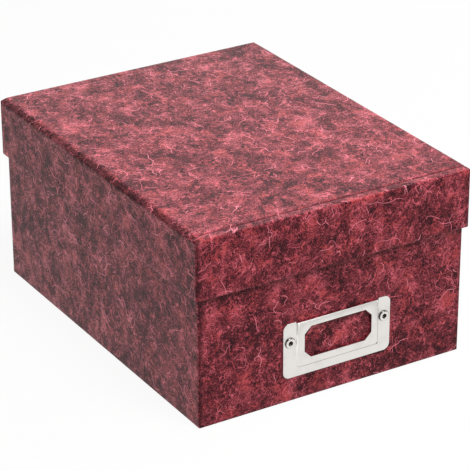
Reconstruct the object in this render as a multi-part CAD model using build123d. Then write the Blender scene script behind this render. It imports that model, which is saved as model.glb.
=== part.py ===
"""Photo storage box: a paper-covered greyboard base with a deep lift-off lid and a riveted label holder.

Frame: millimetres, +Z up, origin on the floor under the middle of the lid.
The front, with the label holder, faces -Y. Width runs along X and length along Y.

The base and the lid are each a tray of five greyboard panels. Gummed tape stays their upright corners,
a covering paper wraps them outside and turns in over their cut edges, and a plain paper lines them inside.
"""

from build123d import *
import os

# Overall sizes, read from the photograph
LID_WIDTH = 197.0
LID_LENGTH = 254.0
BOX_HEIGHT = 127.0
SKIRT_DEPTH = 39.5  # lid top to the lower edge of its skirt

# Sheet materials
BOARD = 1.75  # greyboard panel
COVER = 0.25  # fibre covering paper, pasted
LINING = 0.20  # plain lining paper, pasted
STAY = 0.12  # gummed corner tape, pressed flush into the board
LID_CLEARANCE = 0.40  # covered base to the lid's turned-in edge, each side

# Rounded edges, measured over the covering paper
LID_EDGE_RADIUS = 1.5  # the lid panel rolls over into its skirts
CORNER_RADIUS = 1.25  # upright corners of both trays
FOOT_RADIUS = 1.5  # lower edges of the base
RIM_RADIUS = 0.8  # cut edges of both trays, under the turned paper

# Turned paper and tape
RIM_TURN_IN = 16.0  # covering paper folded down inside the base's rim
SKIRT_TURN_IN = 14.0  # covering paper folded up inside the lid's skirt
FOOT_TURN_UNDER = 14.0  # covering paper folded under the base
FOOT_SHEET_MARGIN = 4.0  # bare margin round the sheet pasted under the base
STAY_REACH = 12.0  # tape on each side of a corner
STAY_MARGIN = 3.0  # tape ends short of the panels' ends

# Label holder: a stamped plate with a raised card pocket, open at the top
HOLDER_WIDTH = 78.3
HOLDER_HEIGHT = 37.7
HOLDER_CORNER = 4.5
HOLDER_ABOVE_FLOOR = 16.8
HOLDER_OFF_CENTRE = 2.6
PLATE = 0.6
PLATE_BURR = 0.15  # rolled edge that the punch leaves on the plate's outline
POCKET_DEPTH = 1.2  # room for the card behind the raised face
EAR_WIDTH = 9.95  # plate's end to the raised face, each side
POCKET_STEP_RUN = 1.0  # the pocket's wall slopes this far out as it drops to the plate
POCKET_CORNER = 1.6
POCKET_BEND = 0.5  # radius of the sheet's bends, over the pocket's face and at its foot
POCKET_BORDER = 6.9  # plate's lower edge to the raised face
POCKET_LIP_DROP = 0.6  # the pocket's mouth lies this far below the plate's ears
WINDOW_BORDER = 4.6  # raised face round the window, at the sides and below
WINDOW_TOP_BORDER = 4.2
WINDOW_CHAMFER = 4.7

# Tubular rivets that hold the plate to the front panel
RIVET_FROM_END = 4.75  # plate's end to the rivet's centre
RIVET_BELOW_EARS = 13.3
RIVET_HEAD_RADIUS = 3.6
RIVET_HEAD_HEIGHT = 1.3
RIVET_RIM = 0.3  # height of the head's outer rim
RIVET_BARREL_RADIUS = 1.75
RIVET_BORE_RADIUS = 1.25
RIVET_MOUTH_DEPTH = 0.55  # the bore's mouth lies this far below the head's crown
RIVET_CLINCH_RADIUS = 3.0
RIVET_CLINCH_HEIGHT = 0.7
RIVET_CLEARANCE = 0.05  # barrel to the holes it passes through

# Lid levels and faces
SKIRT_LOW = BOX_HEIGHT - SKIRT_DEPTH
LID_BOARD_TOP = BOX_HEIGHT - COVER
LID_BOARD_UNDER = LID_BOARD_TOP - BOARD
LID_REST = LID_BOARD_UNDER - LINING  # the lid's lining rests on the base's rim

# Base levels and faces
BASE_INSET = COVER + BOARD + COVER + LID_CLEARANCE
BASE_WIDTH = LID_WIDTH - 2 * BASE_INSET
BASE_LENGTH = LID_LENGTH - 2 * BASE_INSET
BASE_TOP = LID_REST
FOOT_SHEET_TOP = COVER
FOOT_BOARD_LOW = FOOT_SHEET_TOP + COVER
FLOOR_BOARD_TOP = FOOT_BOARD_LOW + BOARD
FLOOR_TOP = FLOOR_BOARD_TOP + LINING
RIM_BOARD_TOP = BASE_TOP - COVER
BASE_FRONT = -BASE_LENGTH / 2

WALL_STACK = COVER + BOARD + LINING  # thickness that a rivet clamps behind the plate
SIDES = (-1, 1)
TOUCH = 1e-4  # two levels closer than this are one


def rounded_slab(across, low, high, top, bottom):
    """Upright section of a box form, rounded at its two upper and two lower corners."""
    section = Pos(0, (low + high) / 2) * Rectangle(across, high - low)
    for level, radius in ((-1, top), (0, bottom)):
        if radius:
            section = fillet(section.vertices().group_by(Axis.Y)[level], radius)
    return section


def box_form(width, length, low, high, corner=0.0, top=0.0, bottom=0.0):
    """Closed box form on the origin's axis, with rounded upright corners, upper edges and lower edges."""
    across = Plane.XZ * rounded_slab(width, low, high, top, bottom)
    along = Plane.YZ * rounded_slab(length, low, high, top, bottom)
    plan = RectangleRounded(width, length, corner) if corner else Rectangle(width, length)
    upright = Pos(0, 0, low) * extrude(plan, high - low)
    return upright & extrude(across, length, both=True) & extrude(along, width, both=True)


def base_form(inset=0.0):
    """Outer form of the covered base, or the form this far inside it."""
    return box_form(
        BASE_WIDTH - 2 * inset,
        BASE_LENGTH - 2 * inset,
        FOOT_SHEET_TOP + inset,
        BASE_TOP - inset,
        corner=CORNER_RADIUS - inset,
        top=RIM_RADIUS - inset,
        bottom=FOOT_RADIUS - inset,
    )


def lid_form(inset=0.0):
    """Outer form of the covered lid, or the form this far inside it."""
    return box_form(
        LID_WIDTH - 2 * inset,
        LID_LENGTH - 2 * inset,
        SKIRT_LOW + inset,
        BOX_HEIGHT - inset,
        corner=CORNER_RADIUS - inset,
        top=LID_EDGE_RADIUS - inset,
        bottom=RIM_RADIUS - inset,
    )


def block(x_range, y_range, z_range):
    """Plain block between three pairs of limits."""
    sizes = [high - low for low, high in (x_range, y_range, z_range)]
    middle = [(low + high) / 2 for low, high in (x_range, y_range, z_range)]
    return Pos(*middle) * Box(*sizes)


def corner_tapes(width, length, low, high):
    """Four strips of tape folded round the upright corners of a tray, flush with its outer faces."""
    radius = CORNER_RADIUS - COVER
    outer = box_form(width, length, low, high, corner=radius)
    inner = box_form(width - 2 * STAY, length - 2 * STAY, low, high, corner=radius - STAY)
    skin = outer - inner
    return [
        skin
        & block(
            sorted((x * width, x * (width / 2 - STAY_REACH))),
            sorted((y * length, y * (length / 2 - STAY_REACH))),
            (low, high),
        )
        for x in SIDES
        for y in SIDES
    ]


def wall_panels(shell, width, length, low, high):
    """Front, rear, left and right panels of a tray; the side panels stand between the end panels."""
    inner_x, inner_y = width / 2 - BOARD, length / 2 - BOARD
    return {
        "front": shell & block((-width, width), (-length, -inner_y), (low, high)),
        "rear": shell & block((-width, width), (inner_y, length), (low, high)),
        "left": shell & block((-width, -inner_x), (-inner_y, inner_y), (low, high)),
        "right": shell & block((inner_x, width), (-inner_y, inner_y), (low, high)),
    }


def ring(width, length, low, high, thickness):
    """Upright strip of paper round the inside of a tray."""
    inner = box_form(width - 2 * thickness, length - 2 * thickness, low, high)
    return box_form(width, length, low, high) - inner


# The label holder is drawn on the front wall's covering, with local Y up and local Z towards the viewer
HOLDER_PLANE = Plane(origin=(HOLDER_OFF_CENTRE, BASE_FRONT, 0), x_dir=(1, 0, 0), z_dir=(0, -1, 0))
HOLDER_TOP = HOLDER_ABOVE_FLOOR + HOLDER_HEIGHT
POCKET_LOW = HOLDER_ABOVE_FLOOR + POCKET_BORDER
POCKET_TOP = HOLDER_TOP - POCKET_LIP_DROP
POCKET_FACE_WIDTH = HOLDER_WIDTH - 2 * EAR_WIDTH
RIVET_HEIGHT = HOLDER_TOP - RIVET_BELOW_EARS
RIVET_OFFSET = HOLDER_WIDTH / 2 - RIVET_FROM_END
RIVET_PLACES = [HOLDER_PLANE * Pos(side * RIVET_OFFSET, RIVET_HEIGHT) for side in SIDES]


def rivet_holes():
    """Two rods that cut the rivets' holes through the plate and the front wall."""
    reach = 2 * (WALL_STACK + PLATE)
    rod = Cylinder(RIVET_BARREL_RADIUS + RIVET_CLEARANCE, 2 * reach)
    return [place * rod for place in RIVET_PLACES]


def pocket_form(foot_level):
    """The raised pocket, from its sloping foot at a level to its face; it runs on past the plate's top."""
    run_on = 2 * POCKET_LIP_DROP + POCKET_CORNER
    levels = ((foot_level, POCKET_STEP_RUN), (foot_level + POCKET_DEPTH, 0.0))
    sections = []
    for level, spread in levels:
        low = POCKET_LOW - spread
        high = HOLDER_TOP + run_on + spread
        outline = RectangleRounded(POCKET_FACE_WIDTH + 2 * spread, high - low, POCKET_CORNER + spread)
        sections.append(Pos(0, (low + high) / 2, level) * outline)
    return loft(sections, ruled=True)


def window_form():
    """Eight-sided window through the pocket's face."""
    width = POCKET_FACE_WIDTH - 2 * WINDOW_BORDER
    low = POCKET_LOW + WINDOW_BORDER
    high = POCKET_TOP - WINDOW_TOP_BORDER
    outline = Rectangle(width, high - low)
    outline = chamfer(outline.vertices(), WINDOW_CHAMFER)
    return Pos(0, (low + high) / 2) * extrude(outline, 2 * (PLATE + POCKET_DEPTH))


def level_edges(solid, level):
    """Edges of a solid that lie at one level of local Z."""
    return solid.edges().filter_by_position(Axis.Z, level - TOUCH, level + TOUCH)


def label_holder():
    """Stamped plate: two ears and a lower border lie on the wall, and the card pocket stands off it.

    The pocket is pressed into a larger blank first, so that its bends run on past the plate's upper edge.
    """
    middle = Pos(0, HOLDER_ABOVE_FLOOR + HOLDER_HEIGHT / 2)
    blank = middle * extrude(Rectangle(2 * HOLDER_WIDTH, 2 * HOLDER_HEIGHT), PLATE) + pocket_form(PLATE)
    blank = fillet(level_edges(blank, PLATE + POCKET_DEPTH), POCKET_BEND)
    flat = blank.faces().filter_by_position(Axis.Z, PLATE - TOUCH, PLATE + TOUCH)[0]
    blank = fillet(flat.inner_wires()[0].edges(), POCKET_BEND)
    outline = middle * RectangleRounded(HOLDER_WIDTH, HOLDER_HEIGHT, HOLDER_CORNER)
    plate = extrude(outline, 2 * (PLATE + POCKET_DEPTH)) & blank
    half_mouth = POCKET_FACE_WIDTH / 2 + POCKET_STEP_RUN
    lip_cut = block(
        (-half_mouth, half_mouth),
        (POCKET_TOP, HOLDER_TOP + HOLDER_HEIGHT),
        (-PLATE, 2 * (PLATE + POCKET_DEPTH)),
    )
    plate = plate - pocket_form(0.0) - lip_cut - window_form()
    plate = fillet(level_edges(plate, PLATE), PLATE_BURR)
    return HOLDER_PLANE * plate - rivet_holes()


def rivet(place):
    """Tubular rivet: rolled head on the plate, barrel through the wall, clinched rim inside."""
    crown = PLATE + RIVET_HEAD_HEIGHT
    mouth = crown - RIVET_MOUTH_DEPTH
    crown_radius = (RIVET_BORE_RADIUS + RIVET_HEAD_RADIUS) / 2
    clinch_low = -WALL_STACK - RIVET_CLINCH_HEIGHT
    clinch_radius = (RIVET_BORE_RADIUS + RIVET_CLINCH_RADIUS) / 2
    head = ThreePointArc((RIVET_BORE_RADIUS, mouth), (crown_radius, crown), (RIVET_HEAD_RADIUS, PLATE + RIVET_RIM))
    side = Polyline(
        (RIVET_HEAD_RADIUS, PLATE + RIVET_RIM),
        (RIVET_HEAD_RADIUS, PLATE),
        (RIVET_BARREL_RADIUS, PLATE),
        (RIVET_BARREL_RADIUS, -WALL_STACK),
        (RIVET_CLINCH_RADIUS, -WALL_STACK),
    )
    clinch = ThreePointArc(
        (RIVET_CLINCH_RADIUS, -WALL_STACK),
        (clinch_radius, clinch_low),
        (RIVET_BORE_RADIUS, -WALL_STACK - RIVET_CLINCH_HEIGHT / 2),
    )
    bore = Line((RIVET_BORE_RADIUS, -WALL_STACK - RIVET_CLINCH_HEIGHT / 2), (RIVET_BORE_RADIUS, mouth))
    section = Plane.XZ * make_face([head, side, clinch, bore])
    return place * revolve(section, Axis.Z)


def base_boards():
    """Floor and four walls of the base."""
    width, length = BASE_WIDTH - 2 * COVER, BASE_LENGTH - 2 * COVER
    hollow = box_form(width - 2 * BOARD, length - 2 * BOARD, FLOOR_BOARD_TOP, BOX_HEIGHT)
    shell = base_form(COVER) - hollow
    tapes = corner_tapes(width, length, FLOOR_BOARD_TOP + STAY_MARGIN, RIM_BOARD_TOP - STAY_MARGIN)
    floor = shell & block((-width, width), (-length, length), (0, FLOOR_BOARD_TOP))
    walls = wall_panels(shell, width, length, FLOOR_BOARD_TOP, RIM_BOARD_TOP)
    panels = {"base_floor_board": floor}
    for side, panel in walls.items():
        panels[f"base_{side}_board"] = panel - tapes
    panels["base_front_board"] = panels["base_front_board"] - rivet_holes()
    panels["base_corner_tapes"] = Compound(tapes)
    return panels


def base_papers():
    """Covering paper, foot sheet and lining of the base."""
    inner_width, inner_length = (size - 2 * (COVER + BOARD) for size in (BASE_WIDTH, BASE_LENGTH))
    mouth = box_form(inner_width - 2 * COVER, inner_length - 2 * COVER, BASE_TOP / 2, 2 * BASE_TOP)
    under = box_form(BASE_WIDTH - 2 * FOOT_TURN_UNDER, BASE_LENGTH - 2 * FOOT_TURN_UNDER, -BOARD, FOOT_BOARD_LOW)
    turn_in = ring(inner_width, inner_length, BASE_TOP - RIM_TURN_IN, BASE_TOP, COVER)
    covering = base_form() - base_form(COVER) - mouth - under + turn_in

    sheet_margin = 2 * FOOT_SHEET_MARGIN
    foot_sheet = box_form(BASE_WIDTH - sheet_margin, BASE_LENGTH - sheet_margin, 0, FOOT_SHEET_TOP)
    wall_lining = ring(inner_width, inner_length, FLOOR_BOARD_TOP, BASE_TOP - RIM_TURN_IN, LINING)
    floor_lining = box_form(inner_width - 2 * LINING, inner_length - 2 * LINING, FLOOR_BOARD_TOP, FLOOR_TOP)
    return {
        "base_covering": covering - rivet_holes(),
        "base_foot_sheet": foot_sheet,
        "base_wall_lining": wall_lining - rivet_holes(),
        "base_floor_lining": floor_lining,
    }


def lid_boards():
    """Top panel and four skirt panels of the lid."""
    width, length = LID_WIDTH - 2 * COVER, LID_LENGTH - 2 * COVER
    shell = lid_form(COVER) - box_form(width - 2 * BOARD, length - 2 * BOARD, 0, LID_BOARD_UNDER)
    tape_low = SKIRT_LOW + COVER + STAY_MARGIN
    tapes = corner_tapes(width, length, tape_low, BOX_HEIGHT - LID_EDGE_RADIUS - STAY_MARGIN)
    panels = {"lid_top_board": shell & block((-width, width), (-length, length), (LID_BOARD_UNDER, BOX_HEIGHT))}
    for side, panel in wall_panels(shell, width, length, 0, LID_BOARD_UNDER).items():
        panels[f"lid_{side}_board"] = panel - tapes
    panels["lid_corner_tapes"] = Compound(tapes)
    return panels


def lid_papers():
    """Covering paper and lining of the lid."""
    inner_width, inner_length = (size - 2 * (COVER + BOARD) for size in (LID_WIDTH, LID_LENGTH))
    mouth = box_form(inner_width - 2 * COVER, inner_length - 2 * COVER, 0, LID_BOARD_UNDER)
    turn_in = ring(inner_width, inner_length, SKIRT_LOW, SKIRT_LOW + SKIRT_TURN_IN, COVER)
    lining_low = SKIRT_LOW + SKIRT_TURN_IN
    hollow = box_form(inner_width - 2 * LINING, inner_length - 2 * LINING, 0, LID_REST)
    return {
        "lid_covering": lid_form() - lid_form(COVER) - mouth + turn_in,
        "lid_lining": box_form(inner_width, inner_length, lining_low, LID_BOARD_UNDER) - hollow,
    }


def holder_parts():
    """Label holder and its two rivets."""
    left, right = RIVET_PLACES
    return {
        "label_holder": label_holder(),
        "holder_left_rivet": rivet(left),
        "holder_right_rivet": rivet(right),
    }


parts = {**base_boards(), **base_papers(), **holder_parts(), **lid_boards(), **lid_papers()}

os.makedirs("parts", exist_ok=True)
for name, solid in parts.items():
    export_step(solid, f"parts/{name}.step")
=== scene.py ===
"""Looks of the photo storage box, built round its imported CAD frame.

Metres, +Z up, and the front with the label holder faces -Y. The lid and the base are each covered with
a folded sheet of fibre paper, modelled as the flat sheet that was wrapped: every point keeps its place on the
flat sheet in the UV map SHEET, so that the paper's mottling and its curled threads run on over the folds.
"""

import logging  # noqa: E402
import math  # noqa: E402
from dataclasses import dataclass, field, replace  # noqa: E402
from enum import Enum  # noqa: E402
from typing import Any, Callable, Optional, Sequence, Union  # noqa: E402

import bmesh  # noqa: E402
import bpy  # noqa: E402
from mathutils import Matrix, Vector, noise  # noqa: E402


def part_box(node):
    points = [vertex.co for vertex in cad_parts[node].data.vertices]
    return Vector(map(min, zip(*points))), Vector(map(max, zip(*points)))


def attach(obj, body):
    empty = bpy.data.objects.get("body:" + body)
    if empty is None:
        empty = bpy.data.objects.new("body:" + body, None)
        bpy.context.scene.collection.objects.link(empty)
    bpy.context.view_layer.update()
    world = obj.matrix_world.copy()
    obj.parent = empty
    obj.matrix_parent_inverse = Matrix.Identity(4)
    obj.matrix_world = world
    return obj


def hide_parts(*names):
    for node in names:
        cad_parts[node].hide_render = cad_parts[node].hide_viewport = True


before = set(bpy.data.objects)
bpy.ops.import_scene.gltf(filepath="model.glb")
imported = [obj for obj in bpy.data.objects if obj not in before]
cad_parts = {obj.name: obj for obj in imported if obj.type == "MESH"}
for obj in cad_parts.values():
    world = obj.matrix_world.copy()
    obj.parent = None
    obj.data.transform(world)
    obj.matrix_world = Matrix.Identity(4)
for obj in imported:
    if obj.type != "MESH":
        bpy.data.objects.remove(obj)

LOG = logging.getLogger("photo_storage_box")
MM = 0.001
SHEET = "sheet"  # UV map: the place on the flat sheet, in metres
CREASE = "crease"  # attribute: depth in a crease, in metres; the paper paints shade from it
FOLD = "fold"  # attribute: how far the left slope lies under the level top, in metres; the paper paints shade from it
WRAP = "wrap"  # attribute: 1 at an upright corner of an end face, falling to 0 away from it
STRAND = "strand"  # attribute: a number from 0 to 1 for each thread
RIVET_SHADE = "recess"  # attribute: 1 where shade is painted on a rivet: in its bore and under its head's outer edge
TUFT = 19.0  # size of the tufts in which the threads lie, in millimetres

Colour = tuple[float, float, float]
Value = Union["Term", float, int, bool, Sequence[float]]


# --------------------------------------------------------------------------------------------------
# Node trees
# --------------------------------------------------------------------------------------------------


@dataclass(frozen=True, eq=False)
class Term:
    """One output socket of a node tree, for use in arithmetic.

    Attributes:
        graph: The graph that the socket belongs to.
        socket: The output socket.
    """

    graph: "Graph"
    socket: bpy.types.NodeSocket

    @property
    def is_vector(self) -> bool:
        """Whether the socket carries a vector or a colour."""
        return self.socket.type in ("VECTOR", "RGBA")

    def __add__(self, other: Value) -> "Term":
        """Sum."""
        return self.graph.maths("ADD", self, other)

    def __radd__(self, other: Value) -> "Term":
        """Sum, with the term on the right."""
        return self.graph.maths("ADD", other, self)

    def __sub__(self, other: Value) -> "Term":
        """Difference."""
        return self.graph.maths("SUBTRACT", self, other)

    def __rsub__(self, other: Value) -> "Term":
        """Difference, with the term on the right."""
        return self.graph.maths("SUBTRACT", other, self)

    def __mul__(self, other: Value) -> "Term":
        """Product."""
        return self.graph.maths("MULTIPLY", self, other)

    def __rmul__(self, other: Value) -> "Term":
        """Product, with the term on the right."""
        return self.graph.maths("MULTIPLY", other, self)

    def __truediv__(self, other: Value) -> "Term":
        """Quotient."""
        return self.graph.maths("DIVIDE", self, other)

    def __rtruediv__(self, other: Value) -> "Term":
        """Quotient, with the term below the line."""
        return self.graph.maths("DIVIDE", other, self)

    def __pow__(self, power: Value) -> "Term":
        """Power."""
        return self.graph.maths("POWER", self, power)

    def __abs__(self) -> "Term":
        """Absolute value."""
        return self.graph.maths("ABSOLUTE", self)

    def __getitem__(self, axis: str) -> "Term":
        """The X, Y or Z part of a vector."""
        return self.graph.node("ShaderNodeSeparateXYZ", inputs={"Vector": self})[axis]


@dataclass(frozen=True, eq=False)
class Placed:
    """A node in a graph, whose outputs are read by name.

    Attributes:
        graph: The graph that the node belongs to.
        node: The node.
    """

    graph: "Graph"
    node: bpy.types.Node

    def __getitem__(self, name: str) -> Term:
        """The output with this identifier or name."""
        return Term(self.graph, find_socket(self.node.outputs, name))


def find_socket(sockets: Any, name: str) -> bpy.types.NodeSocket:
    """Finds a socket by its identifier, or else by its name among those in use.

    Args:
        sockets: The inputs or outputs of a node.
        name: Identifier or name of the socket.

    Returns:
        The socket.
    """
    for socket in sockets:
        if socket.identifier == name:
            return socket
    for socket in sockets:
        if socket.name == name and socket.enabled:
            return socket
    raise KeyError(f"no socket {name!r} among {[s.identifier for s in sockets]}")


class Graph:
    """Writes nodes into one shader or geometry tree."""

    def __init__(self, tree: bpy.types.NodeTree) -> None:
        """Starts with an empty tree.

        Args:
            tree: The tree to write into.
        """
        self.tree = tree
        tree.nodes.clear()

    def node(
        self,
        kind: str,
        settings: Optional[dict[str, Any]] = None,
        inputs: Optional[dict[str, Any]] = None,
    ) -> Placed:
        """Adds a node.

        Args:
            kind: Blender's type name for the node.
            settings: Properties of the node, set first. "stops" holds a ramp's (place, colour) pairs.
            inputs: Values, or terms to link, by the input's identifier or name.

        Returns:
            The node.
        """
        node = self.tree.nodes.new(kind)
        for name, value in (settings or {}).items():
            if name == "stops":
                self._set_stops(node.color_ramp, value)
            else:
                setattr(node, name, value)
        for name, value in (inputs or {}).items():
            socket = find_socket(node.inputs, name)
            if isinstance(value, Term):
                self.tree.links.new(value.socket, socket)
            else:
                socket.default_value = value
        return Placed(self, node)

    @staticmethod
    def _set_stops(ramp: bpy.types.ColorRamp, stops: Sequence[tuple[float, Colour]]) -> None:
        """Gives a colour ramp its stops."""
        while len(ramp.elements) < len(stops):
            ramp.elements.new(1.0)
        for element, (place, colour) in zip(ramp.elements, stops):
            element.position = place
            element.color = (*colour, 1.0)

    def maths(self, operation: str, *values: Value) -> Term:
        """Adds a Math node, or a Vector Math node where any value is a vector or a colour.

        Args:
            operation: The node's operation.
            values: Its inputs in order: numbers, triples or terms.

        Returns:
            The result.
        """
        in_vectors = any(v.is_vector if isinstance(v, Term) else hasattr(v, "__len__") for v in values)
        kind = "ShaderNodeVectorMath" if in_vectors else "ShaderNodeMath"
        node = self.node(kind, {"operation": operation}).node
        for socket, value in zip(node.inputs, values):
            if isinstance(value, Term):
                self.tree.links.new(value.socket, socket)
            else:
                socket.default_value = (value,) * 3 if in_vectors and not hasattr(value, "__len__") else value
        return Term(self, node.outputs["Vector" if in_vectors else "Value"])

    def noise(self, place: Term, size: float, detail: float = 2.0, roughness: float = 0.5) -> Placed:
        """Adds soft noise.

        Args:
            place: Coordinates.
            size: Size of the largest blobs, in the coordinates' unit.
            detail: How many finer layers are added.
            roughness: Share of the finer layers.

        Returns:
            The noise node, with the outputs Fac and Color.
        """
        sockets = {"Vector": place, "Scale": 1.0 / size, "Detail": detail, "Roughness": roughness}
        return self.node("ShaderNodeTexNoise", {"noise_dimensions": "3D"}, sockets)

    def step(self, value: Term, low: float, high: float) -> Term:
        """A smooth step from 0 at low to 1 at high, or from 1 down to 0 where low is the larger."""
        sockets = {"Value": value, "From Min": low, "From Max": high}
        settings = {"interpolation_type": "SMOOTHSTEP"}
        if low < high:
            return self.node("ShaderNodeMapRange", settings, sockets)["Result"]
        sockets |= {"From Min": high, "From Max": low, "To Min": 1.0, "To Max": 0.0}
        return self.node("ShaderNodeMapRange", settings, sockets)["Result"]

    def ramp(self, value: Term, *stops: tuple[float, Colour]) -> Term:
        """A colour for a value, between (place, colour) stops."""
        return self.node("ShaderNodeValToRGB", {"stops": stops}, {"Fac": value})["Color"]

    def mix(self, share: Value, first: Union[Term, Colour], second: Union[Term, Colour]) -> Term:
        """A colour between two others.

        Args:
            share: 0 for the first colour, 1 for the second.
            first: Colour at 0.
            second: Colour at 1.

        Returns:
            The mixed colour.
        """
        sockets: dict[str, Any] = {"Factor_Float": share}
        for name, colour in (("A_Color", first), ("B_Color", second)):
            sockets[name] = colour if isinstance(colour, Term) else (*colour, 1.0)
        return self.node("ShaderNodeMix", {"data_type": "RGBA"}, sockets)["Result_Color"]

    def turned(self, place: Term, degrees: float, along: float, across: float) -> Term:
        """Coordinates for a pattern drawn out in one direction.

        Args:
            place: Coordinates.
            degrees: Direction in which the pattern is drawn out, from the X axis.
            along: Length of its blobs in that direction.
            across: Their width.

        Returns:
            Coordinates whose unit is one blob.
        """
        sockets = {"Vector": place, "Rotation": (0, 0, -math.radians(degrees))}
        return self.node("ShaderNodeMapping", {}, sockets)["Vector"] * (1 / along, 1 / across, 1.0)

    def bump(self, height: Term, depth: float) -> Term:
        """A normal for a relief.

        Args:
            height: Relief from 0 to 1.
            depth: What 1 stands for, in metres.

        Returns:
            The normal.
        """
        sockets = {"Height": height, "Strength": 1.0, "Distance": depth}
        return self.node("ShaderNodeBump", {}, sockets)["Normal"]

    def object_mm(self) -> Term:
        """Place on the object, in millimetres."""
        return self.node("ShaderNodeTexCoord")["Object"] * 1000.0

    def sheet_mm(self) -> Term:
        """Place on the flat sheet that was folded, in millimetres."""
        return self.node("ShaderNodeUVMap", {"uv_map": SHEET})["UV"] * 1000.0

    def attribute(self, name: str) -> Term:
        """A number stored on the mesh, in a shader tree."""
        return self.node("ShaderNodeAttribute", {"attribute_name": name})["Fac"]

    def stored(self, name: str, kind: str = "FLOAT") -> Term:
        """A value stored on the geometry, in a geometry tree."""
        return self.node("GeometryNodeInputNamedAttribute", {"data_type": kind}, {"Name": name})["Attribute"]

    def store(self, geometry: Term, name: str, value: Term) -> Term:
        """The geometry with a number stored on its points."""
        sockets = {"Geometry": geometry, "Name": name, "Value": value}
        return self.node("GeometryNodeStoreNamedAttribute", {"data_type": "FLOAT"}, sockets)["Geometry"]

    def position(self) -> Term:
        """The place of each element of a geometry."""
        return self.node("GeometryNodeInputPosition")["Position"]

    def vector(self, x: Value = 0.0, y: Value = 0.0, z: Value = 0.0) -> Term:
        """A vector made from its three parts."""
        return self.node("ShaderNodeCombineXYZ", {}, {"X": x, "Y": y, "Z": z})["Vector"]

    def cut(self, geometry: Term, points: Term) -> Term:
        """The geometry without the points chosen."""
        sockets = {"Geometry": geometry, "Selection": points}
        return self.node("GeometryNodeDeleteGeometry", {"domain": "POINT"}, sockets)["Geometry"]

    def circle(self, resolution: int, radius: Value) -> Term:
        """A circle round the Z axis."""
        sockets = {"Resolution": resolution, "Radius": radius}
        return self.node("GeometryNodeCurvePrimitiveCircle", {}, sockets)["Curve"]


# --------------------------------------------------------------------------------------------------
# Finishes
# --------------------------------------------------------------------------------------------------


@dataclass(frozen=True)
class Finish:
    """A surface finish: what stays the same all over it, and what its nodes paint.

    Attributes:
        name: Name of its material.
    """

    name: str

    def plain(self) -> dict[str, Any]:
        """Values of the shader that are the same all over, by socket."""
        return {}

    def paint(self, graph: Graph) -> dict[str, Term]:
        """Writes what changes over the surface.

        Args:
            graph: The material's graph.

        Returns:
            Terms by shader socket.
        """
        raise NotImplementedError

    def material(self) -> bpy.types.Material:
        """The material, which is made once."""
        name = f"{self.name}_finish"
        found = bpy.data.materials.get(name)
        if found:
            return found
        material = bpy.data.materials.new(name)
        material.use_nodes = True
        graph = Graph(material.node_tree)
        shader = graph.node("ShaderNodeBsdfPrincipled", {}, {**self.plain(), **self.paint(graph)})
        graph.node("ShaderNodeOutputMaterial", {}, {"Surface": shader["BSDF"]})
        return material


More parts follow.
